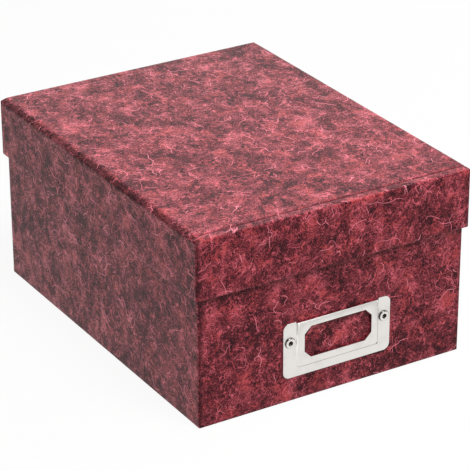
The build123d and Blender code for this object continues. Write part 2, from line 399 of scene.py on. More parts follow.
@dataclass(frozen=True)
class FibrePaper(Finish):
    """Varnished red paper, clouded from charcoal to bright red and felted from fine dark and bright hairs.

    Attributes:
        charcoal: Darkest tone.
        wine: Tone of the dark clouds.
        red: Tone of the middle.
        bright: Tone of the bright clouds.
        pink: Tone of the palest hairs.
        glow: Warmer tone of some bright clouds.
        middle: Where plain paper lies between charcoal at 0 and pink at 1.
        cloud: Size of the large clouds, in millimetres.
        cloud_share: How strongly they show.
        mottle: Size of the small clouds.
        mottle_share: How strongly they show.
        tuft_share: How much brighter the paper is where its threads lie close.
        bend: Size of the bends in the hairs and clouds.
        bend_reach: How far the bends stray.
        hair_length: Length of a hair.
        hair_width: Width of a hair.
        directions: How many directions the hairs take.
        hairs: First direction in degrees, and strength, of the bright hairs and of the dark ones.
        swirls: Size, level and strength of each family of curled hairs; a dark one's strength is below 0.
        sheen: Weight of the fibres' sheen where they are brightest.
        relief: Height of the hairs, in metres.
    """

    name: str = "fibre_paper"
    charcoal: Colour = (0.030, 0.007, 0.011)
    wine: Colour = (0.104, 0.013, 0.021)
    red: Colour = (0.250, 0.030, 0.044)
    bright: Colour = (0.500, 0.064, 0.090)
    pink: Colour = (0.780, 0.130, 0.180)
    glow: Colour = (0.580, 0.052, 0.050)
    middle: float = 0.37
    cloud: float = 34.0
    cloud_share: float = 0.9
    mottle: float = 8.5
    mottle_share: float = 1.2
    tuft_share: float = 0.14
    bend: float = 9.0
    bend_reach: float = 12.0
    hair_length: float = 8.0
    hair_width: float = 0.52
    directions: int = 5
    hairs: tuple[tuple[float, float], ...] = ((96.0, 0.44), (78.0, -0.38))
    swirls: tuple[tuple[float, float, float], ...] = (
        (7.0, 0.50, 0.44),
        (5.0, 0.55, 0.40),
        (6.0, 0.45, -0.40),
        (4.2, 0.52, -0.34),
    )
    sheen: float = 0.6
    relief: float = 0.03 * MM

    def plain(self) -> dict[str, Any]:
        """A thin varnish, and the fibres' own sheen as a coat."""
        return {"IOR": 1.20, "Coat IOR": 1.50, "Coat Roughness": 0.30}

    def paint(self, graph: Graph) -> dict[str, Term]:
        """Paints the clouds, then the hairs, then painted shade on the left slope and in the creases, and the
        darker wraps.

        Args:
            graph: The material's graph.

        Returns:
            Terms by shader socket.
        """
        flat = graph.sheet_mm()
        drift = graph.noise(flat, self.bend, 2.0)["Color"] - (0.5, 0.5, 0.5)
        place = flat + drift * self.bend_reach
        hairs: Union[Term, float] = 0.0
        for degrees, strength in self.hairs:
            hairs = hairs + self._hairs(graph, place, degrees) * strength
        swirl = self._swirls(graph, flat)
        tone = self._clouds(graph, flat, place) + hairs + swirl
        # Painted shade on the left slope, which faces away from the light; the slope is also made rougher.
        slope_shade = graph.step(graph.attribute(FOLD), 0.02 * MM, 0.55 * MM)
        wrap = graph.step(graph.attribute(WRAP), 0.0, 0.7)
        colour = self._darken(graph, self._colour(graph, place, tone), flat, wrap)
        relief = 0.5 + hairs + swirl - wrap * 0.5
        return {
            "Base Color": colour * (1.0 - slope_shade * 0.6),
            "Roughness": 0.30 + 0.16 * graph.noise(flat, 5.0, 2.0)["Fac"] + slope_shade * 0.15,
            "Coat Weight": graph.step(tone, 0.10, 1.1) * (1.0 - wrap * 0.6) * self.sheen,
            "Normal": graph.bump(relief, self.relief),
        }

    def _clouds(self, graph: Graph, flat: Term, place: Term) -> Term:
        """Tone of the clouds, a little brighter where the threads lie close.

        Args:
            graph: The material's graph.
            flat: Place on the flat sheet, in millimetres.
            place: The same, drawn out of true.

        Returns:
            The tone, mostly from 0 to 1.
        """
        clouds = graph.noise(place, self.cloud, 2.0, 0.5)["Fac"] - 0.5
        mottle = graph.noise(graph.turned(place, 80.0, 1.35, 1.0), self.mottle, 3.0, 0.55)["Fac"] - 0.5
        tuft = graph.step(graph.noise(flat, TUFT, 2.0)["Fac"], 0.50, 0.66)
        return self.middle + clouds * self.cloud_share + mottle * self.mottle_share + tuft * self.tuft_share

    def _colour(self, graph: Graph, place: Term, tone: Term) -> Term:
        """The colour of a tone, warmer in some of the bright clouds.

        Args:
            graph: The material's graph.
            place: Place on the flat sheet, in millimetres.
            tone: The tone.

        Returns:
            The colour.
        """
        tones = (self.charcoal, self.wine, self.red, self.bright, self.pink)
        colour = graph.ramp(tone, *((i / (len(tones) - 1), each) for i, each in enumerate(tones)))
        warm = graph.step(graph.noise(place + (0.0, 0.0, 40.0), 13.0, 2.0)["Fac"], 0.48, 0.62)
        return graph.mix(warm * graph.step(tone, 0.42, 0.70) * 0.6, colour, self.glow)

    def _darken(self, graph: Graph, colour: Term, flat: Term, wrap: Term) -> Term:
        """Paints shade into the creases, and darkens the wraps at the upright corners.

        Args:
            graph: The material's graph.
            colour: The paper's colour.
            flat: Place on the flat sheet, in millimetres.
            wrap: 1 in the middle of a wrap.

        Returns:
            The darkened colour.
        """
        rough = graph.noise(flat, 2.2, 2.0)["Fac"]
        # Painted shade in the creases, broken up by noise.
        crease_shade = graph.step(graph.attribute(CREASE) * (0.5 + rough), 0.03 * MM, 0.22 * MM)
        colour = graph.mix(crease_shade * 0.75, colour, self.wine)
        return graph.mix(wrap * 0.65, colour, self.charcoal)

    def _hairs(self, graph: Graph, place: Term, degrees: float) -> Term:
        """Fine bent hairs that cross in several directions.

        Args:
            graph: The material's graph.
            place: Place on the flat sheet, in millimetres.
            degrees: Direction of the first hairs.

        Returns:
            1 in the middle of a hair, 0 off the hairs.
        """
        strongest: Union[Term, float] = 0.0
        for index in range(self.directions):
            shifted = place + (37.0 * index + degrees, 11.0 * index, 0.0)
            turn = degrees + 180.0 * index / self.directions
            turned = graph.turned(shifted, turn, self.hair_length, self.hair_width)
            strongest = graph.maths("MAXIMUM", strongest, graph.noise(turned, 1.0, 0.5, 0.5)["Fac"])
        return graph.step(strongest, 0.61, 0.75)

    def _swirls(self, graph: Graph, place: Term) -> Term:
        """Thin curled hairs that follow the level lines of soft noise, bright above 0 and dark below.

        Args:
            graph: The material's graph.
            place: Place on the flat sheet, in millimetres.

        Returns:
            The change of tone.
        """
        total: Union[Term, float] = 0.0
        for size, level, strength in self.swirls:
            ground = graph.noise(place + (91.0 * level, 57.0 * size, 0.0), size, 1.5, 0.5)["Fac"]
            line = graph.step(abs(ground - level), 0.026, 0.006)
            broken = graph.step(graph.noise(place + (13.0 * size, 0.0, 5.0), 6.0, 1.0)["Fac"], 0.46, 0.60)
            total = total + line * broken * strength
        return total


@dataclass(frozen=True)
class Thread(Finish):
    """Pale curled threads that lie in the varnish of the fibre paper.

    Attributes:
        dark: Colour of a few dark threads.
        deep: Colour of the reddest of the others.
        pale: Colour of the palest.
    """

    name: str = "paper_thread"
    dark: Colour = (0.035, 0.008, 0.012)
    deep: Colour = (0.800, 0.075, 0.120)
    pale: Colour = (1.000, 0.310, 0.390)

    def plain(self) -> dict[str, Any]:
        """A fibre's sheen."""
        return {"IOR": 1.42}

    def paint(self, graph: Graph) -> dict[str, Term]:
        """Colours each thread by its own number, with a little change along it.

        Args:
            graph: The material's graph.

        Returns:
            Terms by shader socket.
        """
        along = graph.noise(graph.object_mm(), 2.4, 2.0)["Fac"]
        own = graph.attribute(STRAND)
        colour = graph.mix(own * 0.9 + along * 0.5 - 0.25, self.deep, self.pale)
        colour = graph.mix(graph.step(own, 0.10, 0.08), colour, self.dark)
        return {"Base Color": colour, "Roughness": 0.34 + along * 0.1}


@dataclass(frozen=True)
class PlainPaper(Finish):
    """Uncoated paper with a cloudy formation and fine fibres.

    Attributes:
        tone: Its colour.
        shade: Colour of its darker clouds.
        fleck: Colour of its sparse fibres.
        cloud: Size of the clouds, in millimetres.
        tooth: Size of its tooth.
        relief: Height of its tooth, in metres.
    """

    name: str = "lining_paper"
    tone: Colour = (0.800, 0.775, 0.715)
    shade: Colour = (0.715, 0.685, 0.620)
    fleck: Colour = (0.520, 0.480, 0.400)
    cloud: float = 9.0
    tooth: float = 0.7
    relief: float = 0.05 * MM

    def paint(self, graph: Graph) -> dict[str, Term]:
        """Paints the clouds, the fibres and a soft tooth.

        Args:
            graph: The material's graph.

        Returns:
            Terms by shader socket.
        """
        place = graph.object_mm()
        clouds = graph.noise(place, self.cloud, 4.0, 0.6)["Fac"]
        tooth = graph.noise(place, self.tooth, 3.0, 0.6)["Fac"]
        wisps = graph.noise(graph.turned(place, 35.0, 3.0, 0.35), 1.0, 2.0)["Fac"]
        colour = graph.mix(graph.step(clouds, 0.3, 0.7), self.tone, self.shade)
        colour = graph.mix(graph.step(wisps, 0.66, 0.76) * 0.5, colour, self.fleck)
        relief = tooth * 0.6 + clouds * 0.4
        return {
            "Base Color": colour,
            "Roughness": 0.80 + tooth * 0.15,
            "Normal": graph.bump(relief, self.relief),
        }


@dataclass(frozen=True)
class Greyboard(Finish):
    """Raw recycled board, flecked with pale and dark fibres.

    Attributes:
        tone: Its colour.
        dark: Colour of its dark specks.
        pale: Colour of its pale ones.
        grain: Size of its grain, in millimetres.
        relief: Height of its grain, in metres.
    """

    name: str = "greyboard"
    tone: Colour = (0.400, 0.370, 0.330)
    dark: Colour = (0.180, 0.170, 0.165)
    pale: Colour = (0.620, 0.590, 0.540)
    grain: float = 1.4
    relief: float = 0.08 * MM

    def paint(self, graph: Graph) -> dict[str, Term]:
        """Paints the specks and the board's rough face.

        Args:
            graph: The material's graph.

        Returns:
            Terms by shader socket.
        """
        place = graph.object_mm()
        grain = graph.noise(place, self.grain, 5.0, 0.7)["Fac"]
        wisps = graph.noise(graph.turned(place, 80.0, 4.0, 0.5), 1.0, 3.0)["Fac"]
        colour = graph.mix(graph.step(grain, 0.55, 0.72), self.tone, self.pale)
        colour = graph.mix(graph.step(wisps, 0.62, 0.74) * 0.7, colour, self.dark)
        return {
            "Base Color": colour,
            "Roughness": 0.85 + grain * 0.1,
            "Normal": graph.bump(grain, self.relief),
        }


@dataclass(frozen=True)
class KraftTape(Finish):
    """Brown gummed paper tape with fine ribs.

    Attributes:
        tone: Its colour.
        shade: Colour of its darker streaks.
        rib_turn: How many radians of a rib go into a millimetre.
        relief: Height of its ribs, in metres.
    """

    name: str = "gummed_tape"
    tone: Colour = (0.480, 0.300, 0.155)
    shade: Colour = (0.350, 0.205, 0.100)
    rib_turn: float = 6.0
    relief: float = 0.03 * MM

    def paint(self, graph: Graph) -> dict[str, Term]:
        """Paints the streaks and the ribs.

        Args:
            graph: The material's graph.

        Returns:
            Terms by shader socket.
        """
        place = graph.object_mm()
        streaks = graph.noise(place * (1.0, 1.0, 0.12), 1.0, 3.0, 0.6)["Fac"]
        ribs = graph.maths("SINE", place["Z"] * self.rib_turn) * 0.5 + 0.5
        return {
            "Base Color": graph.mix(graph.step(streaks, 0.35, 0.65), self.tone, self.shade),
            "Roughness": 0.55 + streaks * 0.2,
            "Normal": graph.bump(ribs * 0.5 + streaks * 0.5, self.relief),
        }


@dataclass(frozen=True)
class NickelPlate(Finish):
    """Nickel-plated steel.

    Attributes:
        tone: Colour of the plate.
        tarnish: Colour of its duller clouds.
        gloss: Roughness at its smoothest.
        painted_shade: Colour of the shade painted on the rivets and along the step's foot.
        step: The raised pocket's left, right and lower edges, in millimetres, with painted shade along its
            foot.
        foot_shade_width: Half width of that line of painted shade, in millimetres.
        relief: Depth of its dents, in metres.
    """

    name: str = "nickel_plate"
    tone: Colour = (0.790, 0.765, 0.735)
    tarnish: Colour = (0.700, 0.670, 0.630)
    gloss: float = 0.30
    painted_shade: Colour = (0.050, 0.045, 0.042)
    step: Optional[tuple[float, float, float]] = None
    foot_shade_width: float = 0.28
    relief: float = 0.012 * MM

    def plain(self) -> dict[str, Any]:
        """Solid metal."""
        return {"Metallic": 1.0}

    def paint(self, graph: Graph) -> dict[str, Term]:
        """Paints faint clouds, rolling lines, a slight unevenness from the press, and painted shade on the
        rivets and along the step's foot.

        Args:
            graph: The material's graph.

        Returns:
            Terms by shader socket.
        """
        place = graph.object_mm()
        clouds = graph.noise(place, 7.0, 3.0, 0.55)["Fac"]
        lines = graph.noise(place * (0.25, 4.0, 4.0), 1.0, 3.0, 0.6)["Fac"]
        dents = graph.noise(place, 2.2, 2.0)["Fac"]
        colour = graph.mix(graph.step(clouds, 0.42, 0.75) * 0.7, self.tone, self.tarnish)
        # Painted shade in the rivets' bores and under their heads' outer edges.
        colour = graph.mix(graph.attribute(RIVET_SHADE) * (0.7 + clouds * 0.5), colour, self.painted_shade)
        # Painted shade along the foot of the raised pocket's step, where its hidden walls face away.
        if self.step:
            colour = graph.mix(self._foot(graph, place, *self.step), colour, self.painted_shade)
        return {
            "Base Color": colour,
            "Roughness": self.gloss + clouds * 0.10 + lines * 0.06,
            "Normal": graph.bump(dents * 0.7 + lines * 0.3, self.relief),
        }

    def _foot(self, graph: Graph, place: Term, left: float, right: float, low: float) -> Term:
        """A thin line of painted shade along the foot of the step, on its right and below it.

        Args:
            graph: The material's graph.
            place: Place on the object, in millimetres.
            left: X of the step's left edge.
            right: X of its right edge.
            low: Z of its lower edge.

        Returns:
            1 on the line and 0 off it.
        """
        width = self.foot_shade_width
        upright = graph.step(abs(place["X"] - (right + width)), 1.6 * width, 0.6 * width)
        upright = upright * graph.step(place["Z"], low - 2 * width, low)
        level = graph.step(abs(place["Z"] - (low - width)), 1.6 * width, 0.6 * width)
        level = level * graph.step(place["X"], left + 2.0, left + 3.0)
        level = level * graph.step(place["X"], right + 2 * width, right)
        return graph.maths("MAXIMUM", upright, level)


# --------------------------------------------------------------------------------------------------
# Folded sheets
# --------------------------------------------------------------------------------------------------


class Side(Enum):
    """A side of a tray: its tangent, seen from outside from left to right, and its outward direction."""

    FRONT = ((1.0, 0.0), (0.0, -1.0))
    RIGHT = ((0.0, 1.0), (1.0, 0.0))
    REAR = ((-1.0, 0.0), (0.0, 1.0))
    LEFT = ((0.0, -1.0), (-1.0, 0.0))

    @property
    def is_end(self) -> bool:
        """Whether the side is one of the two narrow ends."""
        return self in (Side.FRONT, Side.REAR)

    def place(self, along: float, out: float) -> Vector:
        """The point of the plan this far along the side from its middle, and this far out from the centre."""
        tangent, outward = self.value
        return Vector((tangent[0] * along + outward[0] * out, tangent[1] * along + outward[1] * out))


@dataclass(frozen=True)
class Station:
    """One line of a folded sheet that runs round the tray.

    Attributes:
        inset: Distance inside the tray's outer faces.
        height: Height above the floor.
        corner: Radius of its four corners.
    """

    inset: float
    height: float
    corner: float = 0.0


def arc_stations(
    centre: tuple[float, float],
    radii: tuple[float, float],
    degrees: tuple[float, float],
    steps: int,
    corners: tuple[float, float],
) -> list[Station]:
    """Lines along an elliptic bend of the sheet.

    Args:
        centre: Inset and height of the bend's centre.
        radii: Reach of the bend along the inset and along the height.
        degrees: First and last angle; 0 points inwards and 90 up.
        steps: How many steps the bend takes.
        corners: Corner radius at the first and at the last line.

    Returns:
        The lines, both ends included.
    """
    stations = []
    for i in range(steps + 1):
        share = i / steps
        angle = math.radians(degrees[0] + (degrees[1] - degrees[0]) * share)
        corner = corners[0] + (corners[1] - corners[0]) * share
        inset = centre[0] + radii[0] * math.cos(angle)
        stations.append(Station(inset, centre[1] + radii[1] * math.sin(angle), corner))
    return stations


def straight_stations(first: Station, last: Station, steps: int) -> list[Station]:
    """Lines between two others, without the two."""
    found = []
    for i in range(1, steps):
        share = i / steps
        pairs = ((getattr(first, n), getattr(last, n)) for n in ("inset", "height", "corner"))
        found.append(Station(*(a + (b - a) * share for a, b in pairs)))
    return found


def even_places(steps: int) -> list[float]:
    """Evenly spaced places from -1 to 1."""
    return [2 * i / steps - 1 for i in range(steps + 1)]


def edged_places(half: float, edges: Sequence[float], pitch: float) -> list[float]:
    """Places from -1 to 1 that stand close together near both ends.

    Args:
        half: Half the length that they span.
        edges: Distances from each end at which there is a place, from 0 upwards.
        pitch: Spacing of the rest.

    Returns:
        The places.
    """
    near = [1 - edge / half for edge in edges]
    steps = 2 * math.ceil(near[-1] * half / pitch)
    middle = [near[-1] * place for place in even_places(steps)]
    return [*(-place for place in near[:-1]), *middle, *near[-2::-1]]


@dataclass
class FoldedSheet:
    """A sheet of paper folded round a tray, line by line.

    Attributes:
        name: Name of its piece.
        width: Width of the tray over the sheet.
        length: Length of the tray over the sheet.
        thickness: Thickness of the sheet.
        stations: Its lines, from the first edge to the last, so that the sheet's face looks outwards.
        crosswise: Whether the flat sheet is a cross, whose middle is the last line. Otherwise it is a strip.
        sheet_start: Where the flat sheet lies on the UV map.
        across: Places of its points along a front or rear side, from -1 to 1.
        down: Places of its points along a left or right side.
        outer_lines: Which lines lie on the outer walls.
        sink: Depths of the left slope, the end slopes and the creases at a place, or None for an open top.
        sink_reach: How far down the walls take part in that.
        fold_reach: How far down they carry the left slope's depth, from which the paper's painted shade is
            read.
        round_steps: Steps round one corner, an even number.
        wobble: How far the paper stands uneven.
        waves: How many of its broad waves go into a metre.
        ripples: How many of its fine ones do.
        wrap_reach: Width of the strip at an upright corner of an end that shows the side's paper.
        wrap_shares: How strongly that strip shows on the right and on the left.
    """

    name: str
    width: float
    length: float
    thickness: float
    stations: list[Station]
    crosswise: bool
    sheet_start: tuple[float, float]
    across: list[float]
    down: list[float]
    outer_lines: range
    sink: Optional[Callable[[Vector], tuple[float, float, float]]] = None
    sink_reach: float = 9.0 * MM
    fold_reach: float = 1.0 * MM
    round_steps: int = 8
    wobble: float = 0.10 * MM
    waves: float = 28.0
    ripples: float = 90.0
    wrap_reach: float = 3.4 * MM
    wrap_shares: tuple[float, float] = (0.4, 1.0)

    def _half(self, side: Side) -> tuple[float, float]:
        """Half the side's length, and its distance from the centre."""
        half_width, half_length = self.width / 2, self.length / 2
        return (half_width, half_length) if side.is_end else (half_length, half_width)

    def _line(self, side: Side, station: Station) -> list[tuple[float, float, float]]:
        """One side's part of a line.

        Args:
            side: The side.
            station: The line.

        Returns:
            For each point: its place along the side, its distance from the centre, and its place along
            the sheet.
        """
        half, distance = (size - station.inset for size in self._half(side))
        radius = station.corner
        straight = half - radius
        corner_steps = self.round_steps // 2
        points = []
        for i in range(corner_steps):
            angle = math.pi / 4 * (1 - i / corner_steps)
            spot = (straight + radius * math.sin(angle), distance - radius * (1 - math.cos(angle)))
            points.append((-spot[0], spot[1], -straight - radius * angle * 4 / math.pi))
        places = self.across if side.is_end else self.down
        points += [(straight * place, distance, straight * place) for place in places]
        mirrored = [(-along, out, -spread) for along, out, spread in reversed(points[:corner_steps])]
        return points + mirrored

    def _runs(self) -> list[float]:
        """How far each line lies along the sheet, from the last one backwards."""
        runs = [0.0]
        for here, there in zip(self.stations[-2::-1], self.stations[:0:-1]):
            runs.append(runs[-1] + math.hypot(here.inset - there.inset, here.height - there.height))
        return runs[::-1]

    def _flat_place(self, side: Side, spread: float, run: float) -> tuple[float, float]:
        """Where a point lies on the flat sheet."""
        if self.crosswise:
            half, distance = self._half(side)
            spot = side.place(spread, distance - self.stations[-1].inset + run)
            return (self.sheet_start[0] + spot.x, self.sheet_start[1] + spot.y)
        quarter = (self.width + self.length) / 2
        turns = {Side.LEFT: -1, Side.FRONT: 0, Side.RIGHT: 1, Side.REAR: 2}[side]
        return (self.sheet_start[0] + turns * quarter + spread, self.sheet_start[1] - run)

    def build(self) -> bpy.types.Object:
        """Makes the sheet's outer face.

        Returns:
            The object, with the flat sheet as its UV map and the creases and wraps as attributes.
        """
        shape = bmesh.new()
        flat = shape.loops.layers.uv.new(SHEET)
        shape.verts.layers.float.new(CREASE)
        wrap = shape.verts.layers.float.new(WRAP)
        shape.verts.layers.float.new(FOLD)
        runs = self._runs()
        for side in Side:
            half, _ = self._half(side)
            grid = []
            for index, station in enumerate(self.stations):
                row = []
                for along, out, spread in self._line(side, station):
                    spot = side.place(along, out)
                    vert = shape.verts.new((spot.x, spot.y, station.height))
                    if side.is_end and index in self.outer_lines:
                        from_corner = (half - abs(along)) / self.wrap_reach
                        vert[wrap] = max(0.0, 1.0 - from_corner) * self.wrap_shares[spot.x < 0]
                    row.append((vert, self._flat_place(side, spread, runs[index])))
                grid.append(row)
            for low, high in zip(grid, grid[1:]):
                for i in range(len(low) - 1):
                    corners = (low[i], low[i + 1], high[i + 1], high[i])
                    face = shape.faces.new([vert for vert, _ in corners])
                    face.smooth = True
                    for loop, (_, uv) in zip(face.loops, corners):
                        loop[flat].uv = uv
        if self.crosswise:
            self._close_panel(shape, flat)
        bmesh.ops.remove_doubles(shape, verts=shape.verts, dist=1e-6)
        self._unsettle(shape)
        if self.sink:
            self._press(shape)
        mesh = bpy.data.meshes.new(self.name)
        shape.to_mesh(mesh)
        shape.free()
        piece = bpy.data.objects.new(self.name, mesh)
        bpy.context.scene.collection.objects.link(piece)
        return piece

    def _close_panel(self, shape: bmesh.types.BMesh, flat: bmesh.types.BMLayerItem) -> None:
        """Fills the last line with a flat grid whose edge points are the line's own.

        Args:
            shape: The mesh being made.
            flat: Its UV layer.
        """
        last = self.stations[-1]
        half_x, half_y = self.width / 2 - last.inset, self.length / 2 - last.inset
        grid = []
        for y in self.down:
            grid.append([shape.verts.new((half_x * x, half_y * y, last.height)) for x in self.across])
        for low, high in zip(grid, grid[1:]):
            for i in range(len(low) - 1):
                face = shape.faces.new((low[i], low[i + 1], high[i + 1], high[i]))
                face.smooth = True
                for loop in face.loops:
                    spot = loop.vert.co
                    loop[flat].uv = (self.sheet_start[0] + spot.x, self.sheet_start[1] + spot.y)

    def _unsettle(self, shape: bmesh.types.BMesh) -> None:
        """Lets the outer faces stand slightly uneven, always outwards.

        Args:
            shape: The mesh being made.
        """
        shape.normal_update()
        limits = (self.width / 2 - 0.1 * MM, self.length / 2 - 0.1 * MM)
        top = max(station.height for station in self.stations)
        for vert in shape.verts:
            spot = vert.co
            on_wall = abs(spot.x) > limits[0] or abs(spot.y) > limits[1]
            on_top = self.crosswise and spot.z > top - 0.02 * MM
            if on_wall or on_top:
                swell = 0.5 + 0.5 * noise.noise(spot * self.waves) + 0.25 * noise.noise(spot * self.ripples)
                vert.co = spot + vert.normal * self.wobble * max(0.0, min(1.0, swell))

    def _press(self, shape: bmesh.types.BMesh) -> None:
        """Presses the creases and slopes into the top, and lowers the tops of the walls with them.

        Args:
            shape: The mesh being made.
        """
        last = self.stations[-1]
        crease, fold = (shape.verts.layers.float[name] for name in (CREASE, FOLD))
        for vert in shape.verts:
            share = (vert.co.z - last.height + self.sink_reach) / (self.sink_reach - last.inset)
            share = max(0.0, min(1.0, share))
            slope, strip, groove = self.sink(vert.co)
            vert[crease] = groove * share
            vert[fold] = slope * max(0.0, 1.0 - (last.height - vert.co.z) / self.fold_reach)
            vert.co.z -= (slope + strip + groove) * share

    def thicken(self, piece: bpy.types.Object) -> bpy.types.Object:
        """Gives a built sheet its thickness, towards the board.

        Args:
            piece: The sheet's outer face.

        Returns:
            The same object, as a closed sheet.
        """
        solidify = piece.modifiers.new("thickness", "SOLIDIFY")
        solidify.thickness = self.thickness
        solidify.offset = -1.0
        solidify.use_even_offset = False
        return bake(piece)


def bake(piece: bpy.types.Object) -> bpy.types.Object:
    """Turns an object's evaluated modifiers into its plain mesh.

    Args:
        piece: Object with modifiers.

    Returns:
        The same object, with the result as its mesh and no modifier.
    """
    depsgraph = bpy.context.evaluated_depsgraph_get()
    mesh = bpy.data.meshes.new_from_object(piece.evaluated_get(depsgraph), depsgraph=depsgraph)
    mesh.name = piece.name
    piece.modifiers.clear()
    piece.data = mesh
    return piece


def dress(piece: bpy.types.Object, finish: Finish, body: str) -> bpy.types.Object:
    """Gives a piece its finish, its body and the record's material slot.

    Args:
        piece: Finished piece, in place.
        finish: Its finish.
        body: The CAD body that it rides on.

    Returns:
        The piece.
    """
    mesh = piece.data
    mesh.materials.clear()
    mesh.materials.append(finish.material())
    mesh.polygons.foreach_set("material_index", [0] * len(mesh.polygons))
    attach(piece, body)
    LOG.info("%s: %d faces, rides on %s, finish %s", piece.name, len(piece.data.polygons), body, finish.name)
    return piece


def paint_node(node: str, finish: Finish) -> None:
    """Gives a CAD node its finish.

    Args:
        node: Name of the node.
        finish: Its finish.
    """
    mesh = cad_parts[node].data
    mesh.materials.clear()
    mesh.materials.append(finish.material())
    LOG.info("%s: CAD node, finish %s", node, finish.name)


# --------------------------------------------------------------------------------------------------
# Geometry Nodes
# --------------------------------------------------------------------------------------------------


class Recipe:
    """A Geometry Nodes tree with named inputs, run once to make a plain mesh."""

    def __init__(self, name: str) -> None:
        """Starts an empty tree.

        Args:
            name: Name of the tree.
        """
        self.name = name
        self.tree = bpy.data.node_groups.new(name, "GeometryNodeTree")
        self.graph = Graph(self.tree)
        self.tree.interface.new_socket("Geometry", in_out="OUTPUT", socket_type="NodeSocketGeometry")
        self.tree.interface.new_socket("Geometry", in_out="INPUT", socket_type="NodeSocketGeometry")
        self.values: dict[str, Any] = {}
        self.entry = self.graph.node("NodeGroupInput")

    def input(self, name: str, kind: str, value: Any) -> Term:
        """Adds a named input.

        Args:
            name: Name of the input.
            kind: Socket type, without its NodeSocket prefix.
            value: What the input is set to when the recipe runs.

        Returns:
            The input's term.
        """
        socket = self.tree.interface.new_socket(name, in_out="INPUT", socket_type=f"NodeSocket{kind}")
        self.values[socket.identifier] = value
        return self.entry[socket.identifier]

    def random(self, kind: str, low: Value, high: Value, seed: Value) -> Term:
        """A random number or vector for each element.

        Args:
            kind: FLOAT or FLOAT_VECTOR.
            low: Least value.
            high: Greatest value.
            seed: Seed.

        Returns:
            The value.
        """
        names = ("Min", "Max", "Value") if kind == "FLOAT_VECTOR" else ("Min_001", "Max_001", "Value_001")
        sockets = {names[0]: low, names[1]: high, "Seed": seed}
        return self.graph.node("FunctionNodeRandomValue", {"data_type": kind}, sockets)[names[2]]

    def run(self, result: Term, material: Term, piece: str) -> bpy.types.Object:
        """Ends the tree in Realize Instances and Set Material, and runs it.

        Args:
            result: The geometry made.
            material: The material to give it.
            piece: Name of the new object.

        Returns:
            The new object, as a plain mesh.
        """
        real = self.graph.node("GeometryNodeRealizeInstances", {}, {"Geometry": result})["Geometry"]
        sockets = {"Geometry": real, "Material": material}
        painted = self.graph.node("GeometryNodeSetMaterial", {}, sockets)["Geometry"]
        self.graph.node("NodeGroupOutput", {}, {"Geometry": painted})
        host = bpy.data.objects.new(piece, bpy.data.meshes.new(piece))
        bpy.context.scene.collection.objects.link(host)
        modifier = host.modifiers.new(self.name, "NODES")
        modifier.node_group = self.tree
        for identifier, value in self.values.items():
            modifier[identifier] = value
        return bake(host)


